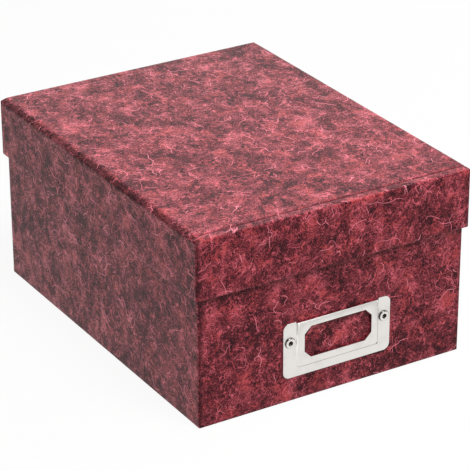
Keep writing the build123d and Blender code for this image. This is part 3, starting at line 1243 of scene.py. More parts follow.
@dataclass
class Threads:
    """Curled pale threads strewn over a folded sheet, each bent round the folds that it crosses.

    Attributes:
        name: Name of the piece.
        count: How many threads are strewn on the flat sheet.
        seed: Seed of their places and shapes.
        low: Lowest corner of the flat sheet's rectangle on the UV map.
        high: Its highest corner.
        shortest: Length of the shortest thread.
        longest: Length of the longest.
        short_share: How far the lengths lean to the short side.
        width: Width of the widest.
        crown: Height of a thread's middle over its edges.
        lift: Height of its edges over the paper.
        curl: How far a thread strays from its line.
        crimp: How far its fine waves stray.
        curl_size: Size of its curls.
        crimp_size: Size of its fine waves.
        tuft_limits: Between these levels of the tufts' noise, more and more threads are kept.
        points: Points along a thread.
    """

    name: str
    count: int
    seed: int
    low: tuple[float, float, float]
    high: tuple[float, float, float]
    shortest: float = 3.0 * MM
    longest: float = 16.0 * MM
    short_share: float = 1.8
    width: float = 0.52 * MM
    crown: float = 0.04 * MM
    lift: float = 0.02 * MM
    curl: float = 17.0 * MM
    crimp: float = 2.0 * MM
    curl_size: float = 9.0 * MM
    crimp_size: float = 3.6 * MM
    tuft_limits: tuple[float, float] = (0.46, 0.61)
    points: int = 17

    def grow(self, sheet: bpy.types.Object, finish: Finish) -> bpy.types.Object:
        """Strews the threads over a sheet.

        Args:
            sheet: Outer face of the sheet, with its flat places as a UV map.
            finish: The threads' finish.

        Returns:
            The threads, as one plain mesh.
        """
        recipe = Recipe(self.name)
        graph = recipe.graph
        surface = recipe.input("Sheet", "Object", sheet)
        count = recipe.input("Count", "Int", self.count)
        seed = recipe.input("Seed", "Int", self.seed)
        low, high = recipe.input("Low", "Vector", self.low), recipe.input("High", "Vector", self.high)
        shortest = recipe.input("Shortest", "Float", self.shortest)
        longest = recipe.input("Longest", "Float", self.longest)
        width = recipe.input("Width", "Float", self.width)
        crown, lift = recipe.input("Crown", "Float", self.crown), recipe.input("Lift", "Float", self.lift)
        curl, crimp = recipe.input("Curl", "Float", self.curl), recipe.input("Crimp", "Float", self.crimp)
        points = recipe.input("Points", "Int", self.points)
        material = recipe.input("Material", "Material", finish.material())

        spots = self._strew(recipe, count, low, high, seed)
        ends = {"Start": (-0.5, 0, 0), "End": (0.5, 0, 0)}
        line = graph.node("GeometryNodeCurvePrimitiveLine", {}, ends)["Curve"]
        line = graph.node("GeometryNodeResampleCurve", {}, {"Curve": line, "Count": points})["Curve"]
        share = recipe.random("FLOAT", 0.0, 1.0, seed + 3) ** self.short_share
        reach = share * (longest - shortest) + shortest
        turn = graph.vector(z=recipe.random("FLOAT", 0.0, math.tau, seed + 4))
        scale = graph.vector(reach, 1.0, 1.0)
        sockets = {"Points": spots, "Instance": line, "Rotation": turn, "Scale": scale}
        strands = graph.node("GeometryNodeInstanceOnPoints", {}, sockets)["Instances"]
        strands = graph.node("GeometryNodeRealizeInstances", {}, {"Geometry": strands})["Geometry"]
        strands = self._curl(graph, strands, curl, crimp)
        ribbons = self._ribbons(graph, strands, width, crown, lift)
        return recipe.run(self._lay(graph, ribbons, surface), material, self.name)

    def _strew(self, recipe: Recipe, count: Term, low: Term, high: Term, seed: Term) -> Term:
        """Strews points over the flat sheet's rectangle and keeps most of those that lie in its tufts.

        Args:
            recipe: The tree.
            count: How many are strewn.
            low: Lowest corner of the rectangle.
            high: Its highest corner.
            seed: Seed of their places.

        Returns:
            The points, each with its own number.
        """
        graph = recipe.graph
        sockets = {"Count": count, "Position": recipe.random("FLOAT_VECTOR", low, high, seed)}
        spots = graph.node("GeometryNodePoints", {}, sockets)["Points"]
        tuft = graph.noise(graph.position(), TUFT * MM, 2.0)["Fac"]
        sparse = recipe.random("FLOAT", *self.tuft_limits, seed + 1)
        spots = graph.cut(spots, graph.maths("LESS_THAN", tuft, sparse))
        return graph.store(spots, STRAND, recipe.random("FLOAT", 0.0, 1.0, seed + 2))

    def _curl(self, graph: Graph, strands: Term, curl: Term, crimp: Term) -> Term:
        """Bends straight strands, each in its own way, without leaving the flat sheet.

        Args:
            graph: The tree's graph.
            strands: Straight curves on the flat sheet.
            curl: How far a strand strays.
            crimp: How far its fine waves stray.

        Returns:
            The bent curves.
        """
        place = graph.position()
        own = graph.vector(z=graph.stored(STRAND) * 9.0)
        stray: Union[Term, float] = 0.0
        for size, reach in ((self.curl_size, curl), (self.crimp_size, crimp)):
            drift = graph.noise(place + own, size, 1.0)["Color"] - (0.5, 0.5, 0.5)
            stray = stray + drift * (1.0, 1.0, 0.0) * reach
        return graph.node("GeometryNodeSetPosition", {}, {"Geometry": strands, "Offset": stray})["Geometry"]

    @staticmethod
    def _ribbons(graph: Graph, strands: Term, width: Term, crown: Term, lift: Term) -> Term:
        """Gives the strands a flat, slightly crowned section that tapers to both ends.

        Args:
            graph: The tree's graph.
            strands: Curves on the flat sheet.
            width: Width of the widest.
            crown: Height of a strand's middle over its edges.
            lift: Height of its edges.

        Returns:
            The ribbons, as a mesh that lies on the flat sheet.
        """
        strands = graph.node("GeometryNodeSetCurveNormal", {"mode": "Z_UP"}, {"Curve": strands})["Curve"]
        share = graph.node("GeometryNodeSplineParameter")["Factor"] * 2.0 - 1.0
        taper = (1.0 - share * share) ** 0.4 * (0.40 + graph.stored(STRAND) ** 2.0 * 0.60)
        arch = {
            "Resolution": 2,
            "Start": graph.vector(width * -0.5, -1.0 * lift),
            "Middle": graph.vector(0.0, -1.0 * lift - crown * 2.0),
            "End": graph.vector(width * 0.5, -1.0 * lift),
        }
        section = graph.node("GeometryNodeCurveQuadraticBezier", {}, arch)["Curve"]
        sockets = {"Curve": strands, "Profile Curve": section, "Scale": taper}
        return graph.node("GeometryNodeCurveToMesh", {}, sockets)["Mesh"]

    @staticmethod
    def _lay(graph: Graph, ribbons: Term, surface: Term) -> Term:
        """Moves ribbons from the flat sheet to the folded one, and drops what lies beyond its edges.

        Args:
            graph: The tree's graph.
            ribbons: Mesh on the flat sheet.
            surface: The folded sheet's object.

        Returns:
            The mesh on the folded sheet.
        """
        sheet = graph.node("GeometryNodeObjectInfo", {}, {"Object": surface})["Geometry"]
        place = graph.position()
        sampled = {"Mesh": sheet, "Source UV Map": graph.stored(SHEET, "FLOAT_VECTOR"), "Sample UV": place}
        normal = graph.node("GeometryNodeInputNormal")["Normal"]
        kind = {"data_type": "FLOAT_VECTOR"}
        spot, outward = (
            graph.node("GeometryNodeSampleUVSurface", kind, {**sampled, "Value": source})
            for source in (graph.position(), normal)
        )
        laid = spot["Value"] + outward["Value"] * place["Z"]
        found = {"Boolean": spot["Is Valid"]}
        missed = graph.node("FunctionNodeBooleanMath", {"operation": "NOT"}, found)["Boolean"]
        kept = graph.store(ribbons, "missed", missed)
        moved = graph.node("GeometryNodeSetPosition", {}, {"Geometry": kept, "Position": laid})["Geometry"]
        left = graph.cut(moved, graph.maths("GREATER_THAN", graph.stored("missed"), 0.5))
        return graph.node("GeometryNodeSetShadeSmooth", {}, {"Geometry": left})["Geometry"]


@dataclass
class TubularRivets:
    """Two rivets with rolled heads and open bores, from one turned section each.

    Attributes:
        name: Name of the piece.
        left: Box of the left rivet.
        right: Box of the right rivet.
        plate_face: Y of the plate's face under the heads.
        wall_inside: Y of the wall's inner face under the clinched rims.
        bore: Radius of the bore.
        barrel: Radius of the barrel.
        clinch: Radius of the clinched rim.
        sink: How far the head's roll is sunk below its middle.
        bore_shade: How far the painted shade reaches out of the bore.
        head_edge_shade: How far it reaches in from the head's edge.
        round_steps: Steps round a rivet.
        section_steps: Steps round the section of a roll.
    """

    name: str
    left: tuple[Vector, Vector]
    right: tuple[Vector, Vector]
    plate_face: float
    wall_inside: float
    bore: float = 1.25 * MM
    barrel: float = 1.72 * MM
    clinch: float = 3.0 * MM
    sink: float = 0.35 * MM
    bore_shade: float = 0.45 * MM
    head_edge_shade: float = 0.35 * MM
    round_steps: int = 48
    section_steps: int = 20

    def build(self, finish: Finish) -> bpy.types.Object:
        """Makes both rivets.

        Args:
            finish: Their finish.

        Returns:
            The rivets, as one plain mesh.
        """
        recipe = Recipe(self.name)
        graph = recipe.graph
        low, high = self.left
        head = recipe.input("Head Radius", "Float", (high.x - low.x) / 2)
        bore = recipe.input("Bore Radius", "Float", self.bore)
        barrel = recipe.input("Barrel Radius", "Float", self.barrel)
        clinch = recipe.input("Clinch Radius", "Float", self.clinch)
        head_height = recipe.input("Head Height", "Float", self.plate_face - low.y)
        clinch_height = recipe.input("Clinch Height", "Float", high.y - self.wall_inside)
        sink = recipe.input("Sink", "Float", self.sink)
        grip = recipe.input("Grip", "Float", self.wall_inside - self.plate_face)
        material = recipe.input("Material", "Material", finish.material())

        rolled = self._roll(graph, bore, head, head_height - sink, sink)
        tube = self._tube(graph, bore, barrel, grip)
        slope_shade = self._roll(graph, bore, clinch, clinch_height, grip * -1.0)
        rivet = self._shade_recesses(graph, self._join(graph, rolled, tube, slope_shade), bore, head)
        spots = []
        for corners in (self.left, self.right):
            middle = sum(corners, Vector()) / 2
            place = (middle.x, self.plate_face, middle.z)
            spots.append(graph.node("GeometryNodePoints", {}, {"Count": 1, "Position": place})["Points"])
        turn = (math.pi / 2, 0.0, 0.0)
        sockets = {"Points": self._join(graph, *spots), "Instance": rivet, "Rotation": turn}
        placed = graph.node("GeometryNodeInstanceOnPoints", {}, sockets)["Instances"]
        return recipe.run(placed, material, self.name)

    @staticmethod
    def _join(graph: Graph, *parts: Term) -> Term:
        """Joins geometries."""
        join = graph.node("GeometryNodeJoinGeometry")
        for part in parts:
            graph.tree.links.new(part.socket, join.node.inputs["Geometry"])
        return join["Geometry"]

    def _shade_recesses(self, graph: Graph, rivet: Term, bore: Term, head: Term) -> Term:
        """Stores where shade is painted: in the bore, and under the head's outer edge.

        Args:
            graph: The tree's graph.
            rivet: A rivet round the Z axis.
            bore: Radius of the bore.
            head: Radius of the head.

        Returns:
            The rivet with the attribute.
        """
        place = graph.position()
        radius = (place["X"] * place["X"] + place["Y"] * place["Y"]) ** 0.5
        inside = graph.maths("LESS_THAN", radius, bore + self.bore_shade)
        outside = graph.maths("GREATER_THAN", radius, head - self.head_edge_shade)
        return graph.store(rivet, RIVET_SHADE, graph.maths("MAXIMUM", inside, outside))

    def _turn(self, graph: Graph, radius: Term, section: Term) -> Term:
        """Turns a section round the Z axis at a radius."""
        sockets = {"Curve": graph.circle(self.round_steps, radius), "Profile Curve": section}
        mesh = graph.node("GeometryNodeCurveToMesh", {}, sockets)["Mesh"]
        return graph.node("GeometryNodeSetShadeSmooth", {}, {"Geometry": mesh})["Geometry"]

    def _roll(self, graph: Graph, inner: Term, outer: Term, height: Term, level: Term) -> Term:
        """A rolled rim.

        Args:
            graph: The tree's graph.
            inner: Its inner radius.
            outer: Its outer radius.
            height: Half its thickness.
            level: Height of its middle.

        Returns:
            Its mesh.
        """
        size = graph.vector((outer - inner) * 0.5, height, 1.0)
        sockets = {"Geometry": graph.circle(self.section_steps, 1.0), "Scale": size}
        section = graph.node("GeometryNodeTransform", {}, sockets)["Geometry"]
        ring = self._turn(graph, (inner + outer) * 0.5, section)
        sockets = {"Geometry": ring, "Translation": graph.vector(z=level)}
        return graph.node("GeometryNodeTransform", {}, sockets)["Geometry"]

    def _tube(self, graph: Graph, inner: Term, outer: Term, grip: Term) -> Term:
        """The barrel between the two rims."""
        sockets = {"Width": outer - inner, "Height": grip}
        section = graph.node("GeometryNodeCurvePrimitiveQuadrilateral", {}, sockets)["Curve"]
        ring = self._turn(graph, (inner + outer) * 0.5, section)
        sockets = {"Geometry": ring, "Translation": graph.vector(z=grip * -0.5)}
        return graph.node("GeometryNodeTransform", {}, sockets)["Geometry"]


# --------------------------------------------------------------------------------------------------
# The box
# --------------------------------------------------------------------------------------------------


@dataclass(frozen=True)
class Palette:
    """The box's finishes, by the record's material slot."""

    fibre_paper: Finish = FibrePaper()
    thread: Finish = Thread()
    lining_paper: Finish = PlainPaper()
    foot_paper: Finish = PlainPaper(
        "foot_paper", (0.030, 0.027, 0.027), (0.018, 0.016, 0.016), (0.070, 0.065, 0.062)
    )
    greyboard: Finish = Greyboard()
    gummed_tape: Finish = KraftTape()
    nickel_plate: Finish = NickelPlate()
    rivet_nickel: Finish = NickelPlate("rivet_nickel", (0.780, 0.755, 0.720), (0.660, 0.630, 0.590), 0.14)


@dataclass(frozen=True)
class Pressing:
    """How the lid's top is pressed: sloped at its left edge and both ends, with a score line at each end.

    Attributes:
        left: X of the lid's left face.
        end: Y of its rear face.
        score_in: How far in from an end the score line lies.
        score_width: Half width of the score line.
        score_depth: Its depth at the front.
        rear_score: Share of the end's depths at the rear.
        strip_drop: How far the strip outside the score line slopes down.
        slope_reach: How far in from the left face its slope starts.
        slope_drop: How far it slopes down.
        slope_power: How much steeper it gets towards the face; 1 for a flat slope.
        slope_places: Distances of the slope's points from the face, in millimetres.
        score_end: How far in the close points end.
    """

    left: float
    end: float
    score_in: float = 6.6 * MM
    score_width: float = 0.75 * MM
    score_depth: float = 0.40 * MM
    rear_score: float = 0.3
    strip_drop: float = 0.12 * MM
    slope_reach: float = 5.6 * MM
    slope_drop: float = 1.5 * MM
    slope_power: float = 1.5
    slope_places: tuple[float, ...] = (1.6, 2.6, 3.7, 4.6)
    score_end: float = 9.5 * MM

    def depths(self, spot: Vector) -> tuple[float, float, float]:
        """Depths at a place of the top.

        Args:
            spot: The place.

        Returns:
            Depths of the left slope, of the slopes at the ends, and of the score lines.
        """
        from_end = self.end - abs(spot.y)
        nearness = max(0.0, 1 - (spot.x - self.left) / self.slope_reach)
        slope = self.slope_drop * nearness**self.slope_power
        strip = self.strip_drop * max(0.0, 1 - from_end / (self.score_in - self.score_width))
        depth = self.score_depth * math.exp(-(((from_end - self.score_in) / self.score_width) ** 2))
        share = 1.0 if spot.y < 0 else self.rear_score
        return slope, strip * share, depth * share

    def places(self, half: float, first: float, pitch: float) -> list[float]:
        """Places along an edge of the top, close together near its ends and on the score lines.

        Args:
            half: Half the edge's length.
            first: How far in from the face the first place lies.
            pitch: Spacing of the rest.

        Returns:
            The places, from -1 to 1.
        """
        score = [self.score_in + self.score_width * step for step in (-1.8, -1.2, -0.6, 0.0, 0.6, 1.2, 1.8)]
        places = [place * MM for place in self.slope_places]
        edges = [distance - first for distance in (first, *places, *score, self.score_end)]
        return edged_places(half - first, edges, pitch)


@dataclass
class Lid:
    """The lid: a covered tray whose top is scored and pressed.

    Attributes:
        palette: The box's finishes.
        edge: Radius of the top's edges.
        upright: Radius of the upright corners.
        hem: Radius of the skirts' lower edges.
        pitch: Spacing of the points on the top.
        threads: How many threads are strewn for it.
        seed: Seed of the threads.
        skirt_steps: Steps up the skirt.
    """

    palette: Palette
    edge: float = 0.7 * MM
    upright: float = 1.25 * MM
    hem: float = 0.8 * MM
    pitch: float = 3.4 * MM
    threads: int = 3900
    seed: int = 11
    skirt_steps: int = 16

    def stations(
        self, low: Vector, high: Vector, paper: float, board: float, turn_in: float
    ) -> tuple[list[Station], range]:
        """Lines of the covering, from the turned-in edge down, round the hem, up the skirt and over the edge.

        Args:
            low: Lowest corner of the covering.
            high: Its highest corner.
            paper: Its thickness.
            board: Thickness of the board.
            turn_in: How far it is turned in.

        Returns:
            The lines, and which of them lie on the outer walls.
        """
        inner = 2 * paper + board
        bottom, top, hem, half_hem = low.z, high.z, self.hem, self.hem / 2
        edge = Station(inner, bottom + turn_in)
        middle = (inner - half_hem, bottom + half_hem)
        inside = arc_stations(middle, (half_hem, half_hem), (0, -90), 4, (0.0, half_hem))
        outside = arc_stations((hem, bottom + hem), (hem, hem), (-90, -180), 5, (half_hem, self.upright))
        roll = arc_stations((self.edge, top - self.edge), (self.edge,) * 2, (180, 90), 6, (self.upright, 0.0))
        lines = [edge, *straight_stations(edge, inside[0], 5), *inside, *outside]
        first_outer = len(lines)
        lines += [*straight_stations(outside[-1], roll[0], self.skirt_steps), *roll]
        return lines, range(first_outer, len(lines) - len(roll) // 2)

    def build(self) -> None:
        """Builds and dresses the lid's pieces."""
        low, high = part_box("lid_covering")
        board_low, board_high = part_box("lid_top_board")
        paper, board = high.z - board_high.z, board_high.z - board_low.z
        turn_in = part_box("lid_lining")[0].z - low.z
        lines, outer = self.stations(low, high, paper, board, turn_in)
        pressing = Pressing(low.x, high.y)
        places = [pressing.places(half, self.edge, self.pitch) for half in (high.x, high.y)]
        size = high - low
        sheet = FoldedSheet(
            "lid_paper",
            width=size.x,
            length=size.y,
            thickness=paper,
            stations=lines,
            crosswise=True,
            sheet_start=(0.0, 0.0),
            across=places[0],
            down=places[1],
            outer_lines=outer,
            sink=pressing.depths,
        )
        piece = sheet.build()
        reach = high + Vector((1, 1, 0)) * (size.z + turn_in)
        corners = (-reach.x, -reach.y, 0.0), (reach.x, reach.y, 0.0)
        threads = Threads("lid_threads", self.threads, self.seed, *corners)
        dress(threads.grow(piece, self.palette.thread), self.palette.thread, "lid")
        sheet.thicken(piece)
        dress(piece, self.palette.fibre_paper, "lid")
        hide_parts("lid_covering")
        panel = self._panel(board_low, board_high, places, pressing)
        dress(panel, self.palette.greyboard, "lid")
        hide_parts("lid_top_board")
        for side in ("front", "rear", "left", "right"):
            paint_node(f"lid_{side}_board", self.palette.greyboard)
        paint_node("lid_corner_tapes", self.palette.gummed_tape)
        paint_node("lid_lining", self.palette.lining_paper)

    def _panel(
        self, low: Vector, high: Vector, places: list[list[float]], pressing: Pressing
    ) -> bpy.types.Object:
        """The top board, pressed as the paper on it.

        Args:
            low: Its lowest corner.
            high: Its highest corner.
            places: Places of its points along both edges.
            pressing: How it is pressed.

        Returns:
            The board.
        """
        shape = bmesh.new()
        layers = []
        for top in (False, True):
            inset = self.edge * 0.4 if top else 0.0
            rows = []
            for y in places[1]:
                row = []
                for x in places[0]:
                    spot = Vector((x * (high.x - inset), y * (high.y - inset), high.z if top else low.z))
                    drop = sum(pressing.depths(spot)) if top else 0.0
                    row.append(shape.verts.new((spot.x, spot.y, spot.z - drop)))
                rows.append(row)
            layers.append(rows)
        for rows, turned in ((layers[0], True), (layers[1], False)):
            for near, far in zip(rows, rows[1:]):
                for i in range(len(near) - 1):
                    corners = (near[i], near[i + 1], far[i + 1], far[i])
                    shape.faces.new(corners[::-1] if turned else corners)
        rims = []
        for rows in layers:
            right, left = [row[-1] for row in rows], [row[0] for row in rows]
            rims.append([*rows[0], *right[1:], *rows[-1][-2::-1], *left[-2:0:-1]])
        under, over = rims
        for i in range(len(under)):
            j = (i + 1) % len(under)
            shape.faces.new((under[i], under[j], over[j], over[i]))
        mesh = bpy.data.meshes.new("lid_top_panel")
        shape.to_mesh(mesh)
        shape.free()
        piece = bpy.data.objects.new("lid_top_panel", mesh)
        bpy.context.scene.collection.objects.link(piece)
        return piece


@dataclass
class Base:
    """The base: a covered tray, whose paper is turned in over the rim and under the foot.

    Attributes:
        palette: The box's finishes.
        upright: Radius of the upright corners.
        rim: Radius of the rim's outer edge.
        foot: Radius of the lower edges.
        turn_under: How far the paper is turned under.
        pitch: Spacing of its points.
        sheet_start: Where its flat sheet lies on the UV map.
        threads: How many threads are strewn for it.
        seed: Seed of the threads.
        wall_steps: Steps up the wall.
    """

    palette: Palette
    upright: float = 1.25 * MM
    rim: float = 0.8 * MM
    foot: float = 0.8 * MM
    turn_under: float = 14.0 * MM
    pitch: float = 3.3 * MM
    sheet_start: tuple[float, float] = (0.381, 0.928)
    threads: int = 3500
    seed: int = 23
    wall_steps: int = 34

    def stations(
        self, low: Vector, high: Vector, paper: float, board: float, turn_in: float
    ) -> tuple[list[Station], range]:
        """Lines of the covering, from under the foot, up the wall, over the rim and down inside.

        Args:
            low: Lowest corner of the covering.
            high: Its highest corner.
            paper: Its thickness.
            board: Thickness of the board.
            turn_in: How far it is turned in.

        Returns:
            The lines, and which of them lie on the outer walls.
        """
        inner = 2 * paper + board
        bottom, top, sole, rim, half_rim = low.z, high.z, self.foot, self.rim, self.rim / 2
        under = Station(self.turn_under, bottom)
        foot = arc_stations((sole, bottom + sole), (sole, sole), (-90, -180), 6, (0.6 * MM, self.upright))
        outside = arc_stations((rim, top - rim), (rim, rim), (180, 90), 5, (self.upright, 0.8 * MM))
        middle = (inner - half_rim, top - half_rim)
        inside = arc_stations(middle, (half_rim, half_rim), (90, 0), 4, (0.3 * MM, 0.0))
        edge = Station(inner, top - turn_in)
        lines = [under, *straight_stations(under, foot[0], 4)]
        first_outer = len(lines) + len(foot) // 2
        lines += [*foot, *straight_stations(foot[-1], outside[0], self.wall_steps), *outside]
        outer = range(first_outer, len(lines))
        lines += [*inside, *straight_stations(inside[-1], edge, 5), edge]
        return lines, outer

    def build(self) -> None:
        """Builds and dresses the base's pieces."""
        low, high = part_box("base_covering")
        board_low, board_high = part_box("base_floor_board")
        paper, board = board_low.z - low.z, board_high.z - board_low.z
        turn_in = high.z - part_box("base_wall_lining")[1].z
        lines, outer = self.stations(low, high, paper, board, turn_in)
        width, length = high.x - low.x, high.y - low.y
        places = [even_places(2 * math.ceil(half / self.pitch)) for half in (high.x, high.y)]
        sheet = FoldedSheet(
            "base_paper",
            width=width,
            length=length,
            thickness=paper,
            stations=lines,
            crosswise=False,
            sheet_start=self.sheet_start,
            across=places[0],
            down=places[1],
            outer_lines=outer,
        )
        piece = sheet.build()
        start_x, start_y = self.sheet_start
        quarter, tall = (width + length) / 2, high.z - low.z + turn_in + self.turn_under
        threads = Threads(
            "base_threads",
            self.threads,
            self.seed,
            (start_x - quarter - length / 2, start_y - tall, 0.0),
            (start_x + 2 * quarter + width / 2, start_y, 0.0),
        )
        dress(threads.grow(piece, self.palette.thread), self.palette.thread, "base")
        sheet.thicken(piece)
        dress(piece, self.palette.fibre_paper, "base")
        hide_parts("base_covering")
        for side in ("floor", "front", "rear", "left", "right"):
            paint_node(f"base_{side}_board", self.palette.greyboard)
        paint_node("base_corner_tapes", self.palette.gummed_tape)
        paint_node("base_foot_sheet", self.palette.foot_paper)
        for lining in ("base_wall_lining", "base_floor_lining"):
            paint_node(lining, self.palette.lining_paper)


@dataclass
class LabelHolder:
    """The stamped label holder and the two rivets that hold it.

    Attributes:
        palette: The box's finishes.
        sharp: Bends sharper than this angle stay sharp, in degrees.
        plate: Thickness of the plate.
    """

    palette: Palette
    sharp: float = 40.0
    plate: float = 0.6 * MM

    def build(self) -> None:
        """Builds and dresses the holder and its rivets."""
        holder = self._smooth_copy("label_holder", "holder_plate")
        plate_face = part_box("label_holder")[1].y - self.plate
        raised = [v.co for v in holder.data.vertices if v.co.y < plate_face - self.plate]
        left, right = (pick(v.x for v in raised) / MM for pick in (min, max))
        finish = replace(self.palette.nickel_plate, step=(left, right, min(v.z for v in raised) / MM))
        LOG.info("the pocket's step: %s", finish.step)
        dress(holder, finish, "base")
        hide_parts("label_holder")
        nodes = ("holder_left_rivet", "holder_right_rivet")
        sides = (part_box(node) for node in nodes)
        rivets = TubularRivets("holder_rivets", *sides, plate_face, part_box("base_front_board")[1].y)
        piece = rivets.build(self.palette.rivet_nickel)
        dress(piece, self.palette.rivet_nickel, "base")
        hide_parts(*nodes)

    def _smooth_copy(self, node: str, name: str) -> bpy.types.Object:
        """A copy of a CAD node with smoothly shaded bends.

        Args:
            node: The node.
            name: Name of the copy.

        Returns:
            The copy.
        """
        shape = bmesh.new()
        shape.from_mesh(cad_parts[node].data)
        bmesh.ops.remove_doubles(shape, verts=shape.verts, dist=1e-6)
        mesh = bpy.data.meshes.new(name)
        shape.to_mesh(mesh)
        shape.free()
        mesh.shade_smooth()
        mesh.set_sharp_from_angle(angle=math.radians(self.sharp))
        piece = bpy.data.objects.new(name, mesh)
        bpy.context.scene.collection.objects.link(piece)
        return piece


# --------------------------------------------------------------------------------------------------
# The studio
# --------------------------------------------------------------------------------------------------


@dataclass(frozen=True)
class Lamp:
    """A soft rectangular lamp that looks at the box.

    Attributes:
        name: Its name.
        azimuth: Direction from the box, where 0 is in front of it and 90 to its right, in degrees.
        elevation: Direction above the floor, in degrees.
        distance: Distance from the box.
        size: Side of its square.
        power: Its power, in watts.
    """

    name: str
    azimuth: float
    elevation: float
    distance: float
    size: float
    power: float

    def build(self, target: Vector) -> None:
        """Hangs the lamp.

        Args:
            target: What it looks at.
        """
        away = direction(self.azimuth, self.elevation)
        data = bpy.data.lights.new(self.name, "AREA")
        data.shape, data.size, data.energy = "SQUARE", self.size, self.power
        lamp = bpy.data.objects.new(self.name, data)
        lamp.location = target + away * self.distance
        lamp.rotation_euler = away.to_track_quat("Z", "Y").to_euler()
        bpy.context.scene.collection.objects.link(lamp)


def direction(azimuth: float, elevation: float) -> Vector:
    """The direction from the box towards a viewer.

    Args:
        azimuth: 0 in front of the box and 90 to its right, in degrees.
        elevation: Above the floor, in degrees.

    Returns:
        A unit vector.
    """
    turn, rise = math.radians(azimuth), math.radians(elevation)
    return Vector((math.sin(turn) * math.cos(rise), -math.cos(turn) * math.cos(rise), math.sin(rise)))


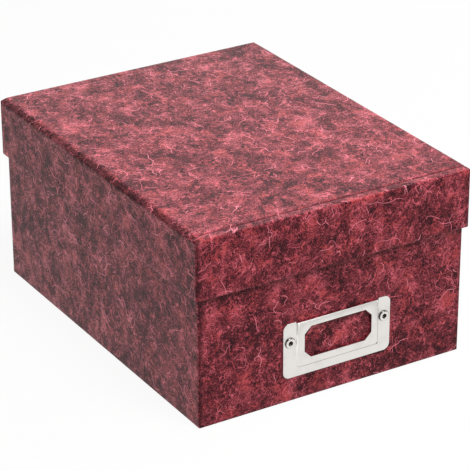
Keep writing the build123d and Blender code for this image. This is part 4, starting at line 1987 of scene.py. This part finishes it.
@dataclass
class Studio:
    """Floor, lamps, surroundings and camera.

    Attributes:
        azimuth: Camera's direction from the box, in degrees.
        elevation: Its height above the floor, in degrees.
        roll: Its turn about its own axis, in degrees.
        distance: Its distance from the point that it looks at.
        target: The point that it looks at.
        focal_pixels: Its focal length in pixels of the photograph.
        photo_side: Side of the photograph, in pixels.
        floor_side: Half the floor's side.
        floor_tone: How pale the floor is to light that reaches the box.
        floor_pale: How pale its matt part looks.
        floor_shown: Share of plain white in the floor as it is seen.
        world_light: Strength of the surroundings' light.
        world_dark: How bright the dark part of the studio's ceiling looks in reflections.
        lamps: The lamps.
    """

    azimuth: float = -31.325
    elevation: float = 25.804
    roll: float = -0.140
    distance: float = 1.5448
    target: Vector = field(default_factory=lambda: Vector((-2.385, -12.664, 60.403)) * MM)
    focal_pixels: float = 2395.3
    photo_side: float = 470.0
    floor_side: float = 6.0
    floor_tone: float = 0.38
    floor_pale: float = 0.9
    floor_shown: float = 0.92
    world_light: float = 0.15
    world_dark: float = 0.12
    lamps: tuple[Lamp, ...] = (
        Lamp("front_softbox", 4.0, 62.0, 1.6, 0.6, 22.0),
        Lamp("right_softbox", 90.0, 27.0, 1.7, 0.7, 13.0),
        Lamp("left_softbox", -84.0, 14.0, 1.8, 1.5, 7.5),
        Lamp("back_softbox", 160.0, 27.0, 1.6, 1.2, 1.5),
    )

    def build(self) -> None:
        """Builds the whole studio."""
        self._floor()
        self._world()
        for lamp in self.lamps:
            lamp.build(self.target)
        self._camera()
        bpy.context.scene.view_settings.view_transform = "Standard"

    @staticmethod
    def _seen(graph: Graph) -> Term:
        """1 for light that reaches the camera straight, by reflection or through glass, and 0 otherwise."""
        path = graph.node("ShaderNodeLightPath")
        seen = graph.maths("MAXIMUM", path["Is Camera Ray"], path["Is Glossy Ray"])
        return graph.maths("MAXIMUM", seen, path["Is Transmission Ray"])

    def _floor(self) -> None:
        """Lays a plain pale floor that keeps the box's shadow."""
        side = self.floor_side
        mesh = bpy.data.meshes.new("floor")
        corners = [(-side, -side, 0), (side, -side, 0), (side, side, 0), (-side, side, 0)]
        mesh.from_pydata(corners, [], [(0, 1, 2, 3)])
        floor = bpy.data.objects.new("floor", mesh)
        bpy.context.scene.collection.objects.link(floor)
        material = bpy.data.materials.new("floor")
        material.use_nodes = True
        graph = Graph(material.node_tree)
        seen = self._seen(graph)
        tone = seen * (self.floor_pale - self.floor_tone) + self.floor_tone
        colour = graph.node("ShaderNodeCombineColor", {}, {"Red": tone, "Green": tone, "Blue": tone})["Color"]
        matt = graph.node("ShaderNodeBsdfDiffuse", {}, {"Color": colour})["BSDF"]
        white = graph.node("ShaderNodeEmission", {}, {"Strength": 1.0})["Emission"]
        blend = graph.node("ShaderNodeMixShader", {}, {"Fac": seen * self.floor_shown})
        graph.tree.links.new(matt.socket, blend.node.inputs[1])
        graph.tree.links.new(white.socket, blend.node.inputs[2])
        graph.node("ShaderNodeOutputMaterial", {}, {"Surface": blend["Shader"]})
        mesh.materials.append(material)

    def _world(self) -> None:
        """Sets white, softly lit surroundings with a dark ceiling and a white screen on the right."""
        world = bpy.data.worlds.new("studio")
        world.use_nodes = True
        graph = Graph(world.node_tree)
        path = graph.node("ShaderNodeLightPath")
        away = graph.node("ShaderNodeTexCoord")["Generated"]
        backdrop = graph.step(away["Z"], 0.56, 0.46) * (1.0 - graph.step(away["X"], 0.40, 0.60) * 0.3)
        screen = graph.step(away["X"], 0.28, 0.38) * graph.step(away["Y"], -0.30, -0.05)
        white = graph.maths("MAXIMUM", backdrop, screen) * (1.0 - self.world_dark) + self.world_dark
        strength = graph.maths("MAXIMUM", path["Is Camera Ray"], path["Is Transmission Ray"])
        strength = graph.maths("MAXIMUM", strength, path["Is Glossy Ray"] * white)
        strength = graph.maths("MAXIMUM", strength, self.world_light)
        back = graph.node("ShaderNodeBackground", {}, {"Color": (1.0, 1.0, 1.0, 1.0), "Strength": strength})
        graph.node("ShaderNodeOutputWorld", {}, {"Surface": back["Background"]})
        bpy.context.scene.world = world

    def _camera(self) -> None:
        """Sets the camera at the photograph's angle."""
        back = direction(self.azimuth, self.elevation)
        data = bpy.data.cameras.new("camera")
        data.sensor_fit, data.sensor_width = "HORIZONTAL", 36.0
        data.lens = data.sensor_width * self.focal_pixels / self.photo_side
        data.clip_start, data.clip_end = 0.05, 50.0
        camera = bpy.data.objects.new("camera", data)
        aim = back.to_track_quat("Z", "Y").to_matrix().to_4x4()
        roll = Matrix.Rotation(math.radians(self.roll), 4, "Z")
        camera.matrix_world = Matrix.Translation(self.target + back * self.distance) @ aim @ roll
        bpy.context.scene.collection.objects.link(camera)
        bpy.context.scene.camera = camera


def main() -> None:
    """Builds the studio and the box's sub-assemblies in order."""
    logging.basicConfig(level=logging.INFO, format="%(name)s: %(message)s")
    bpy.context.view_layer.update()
    palette = Palette()
    for assembly in (Studio(), Base(palette), LabelHolder(palette), Lid(palette)):
        assembly.build()
        LOG.info("%s is done", type(assembly).__name__)


if __name__ == "__main__":
    main()
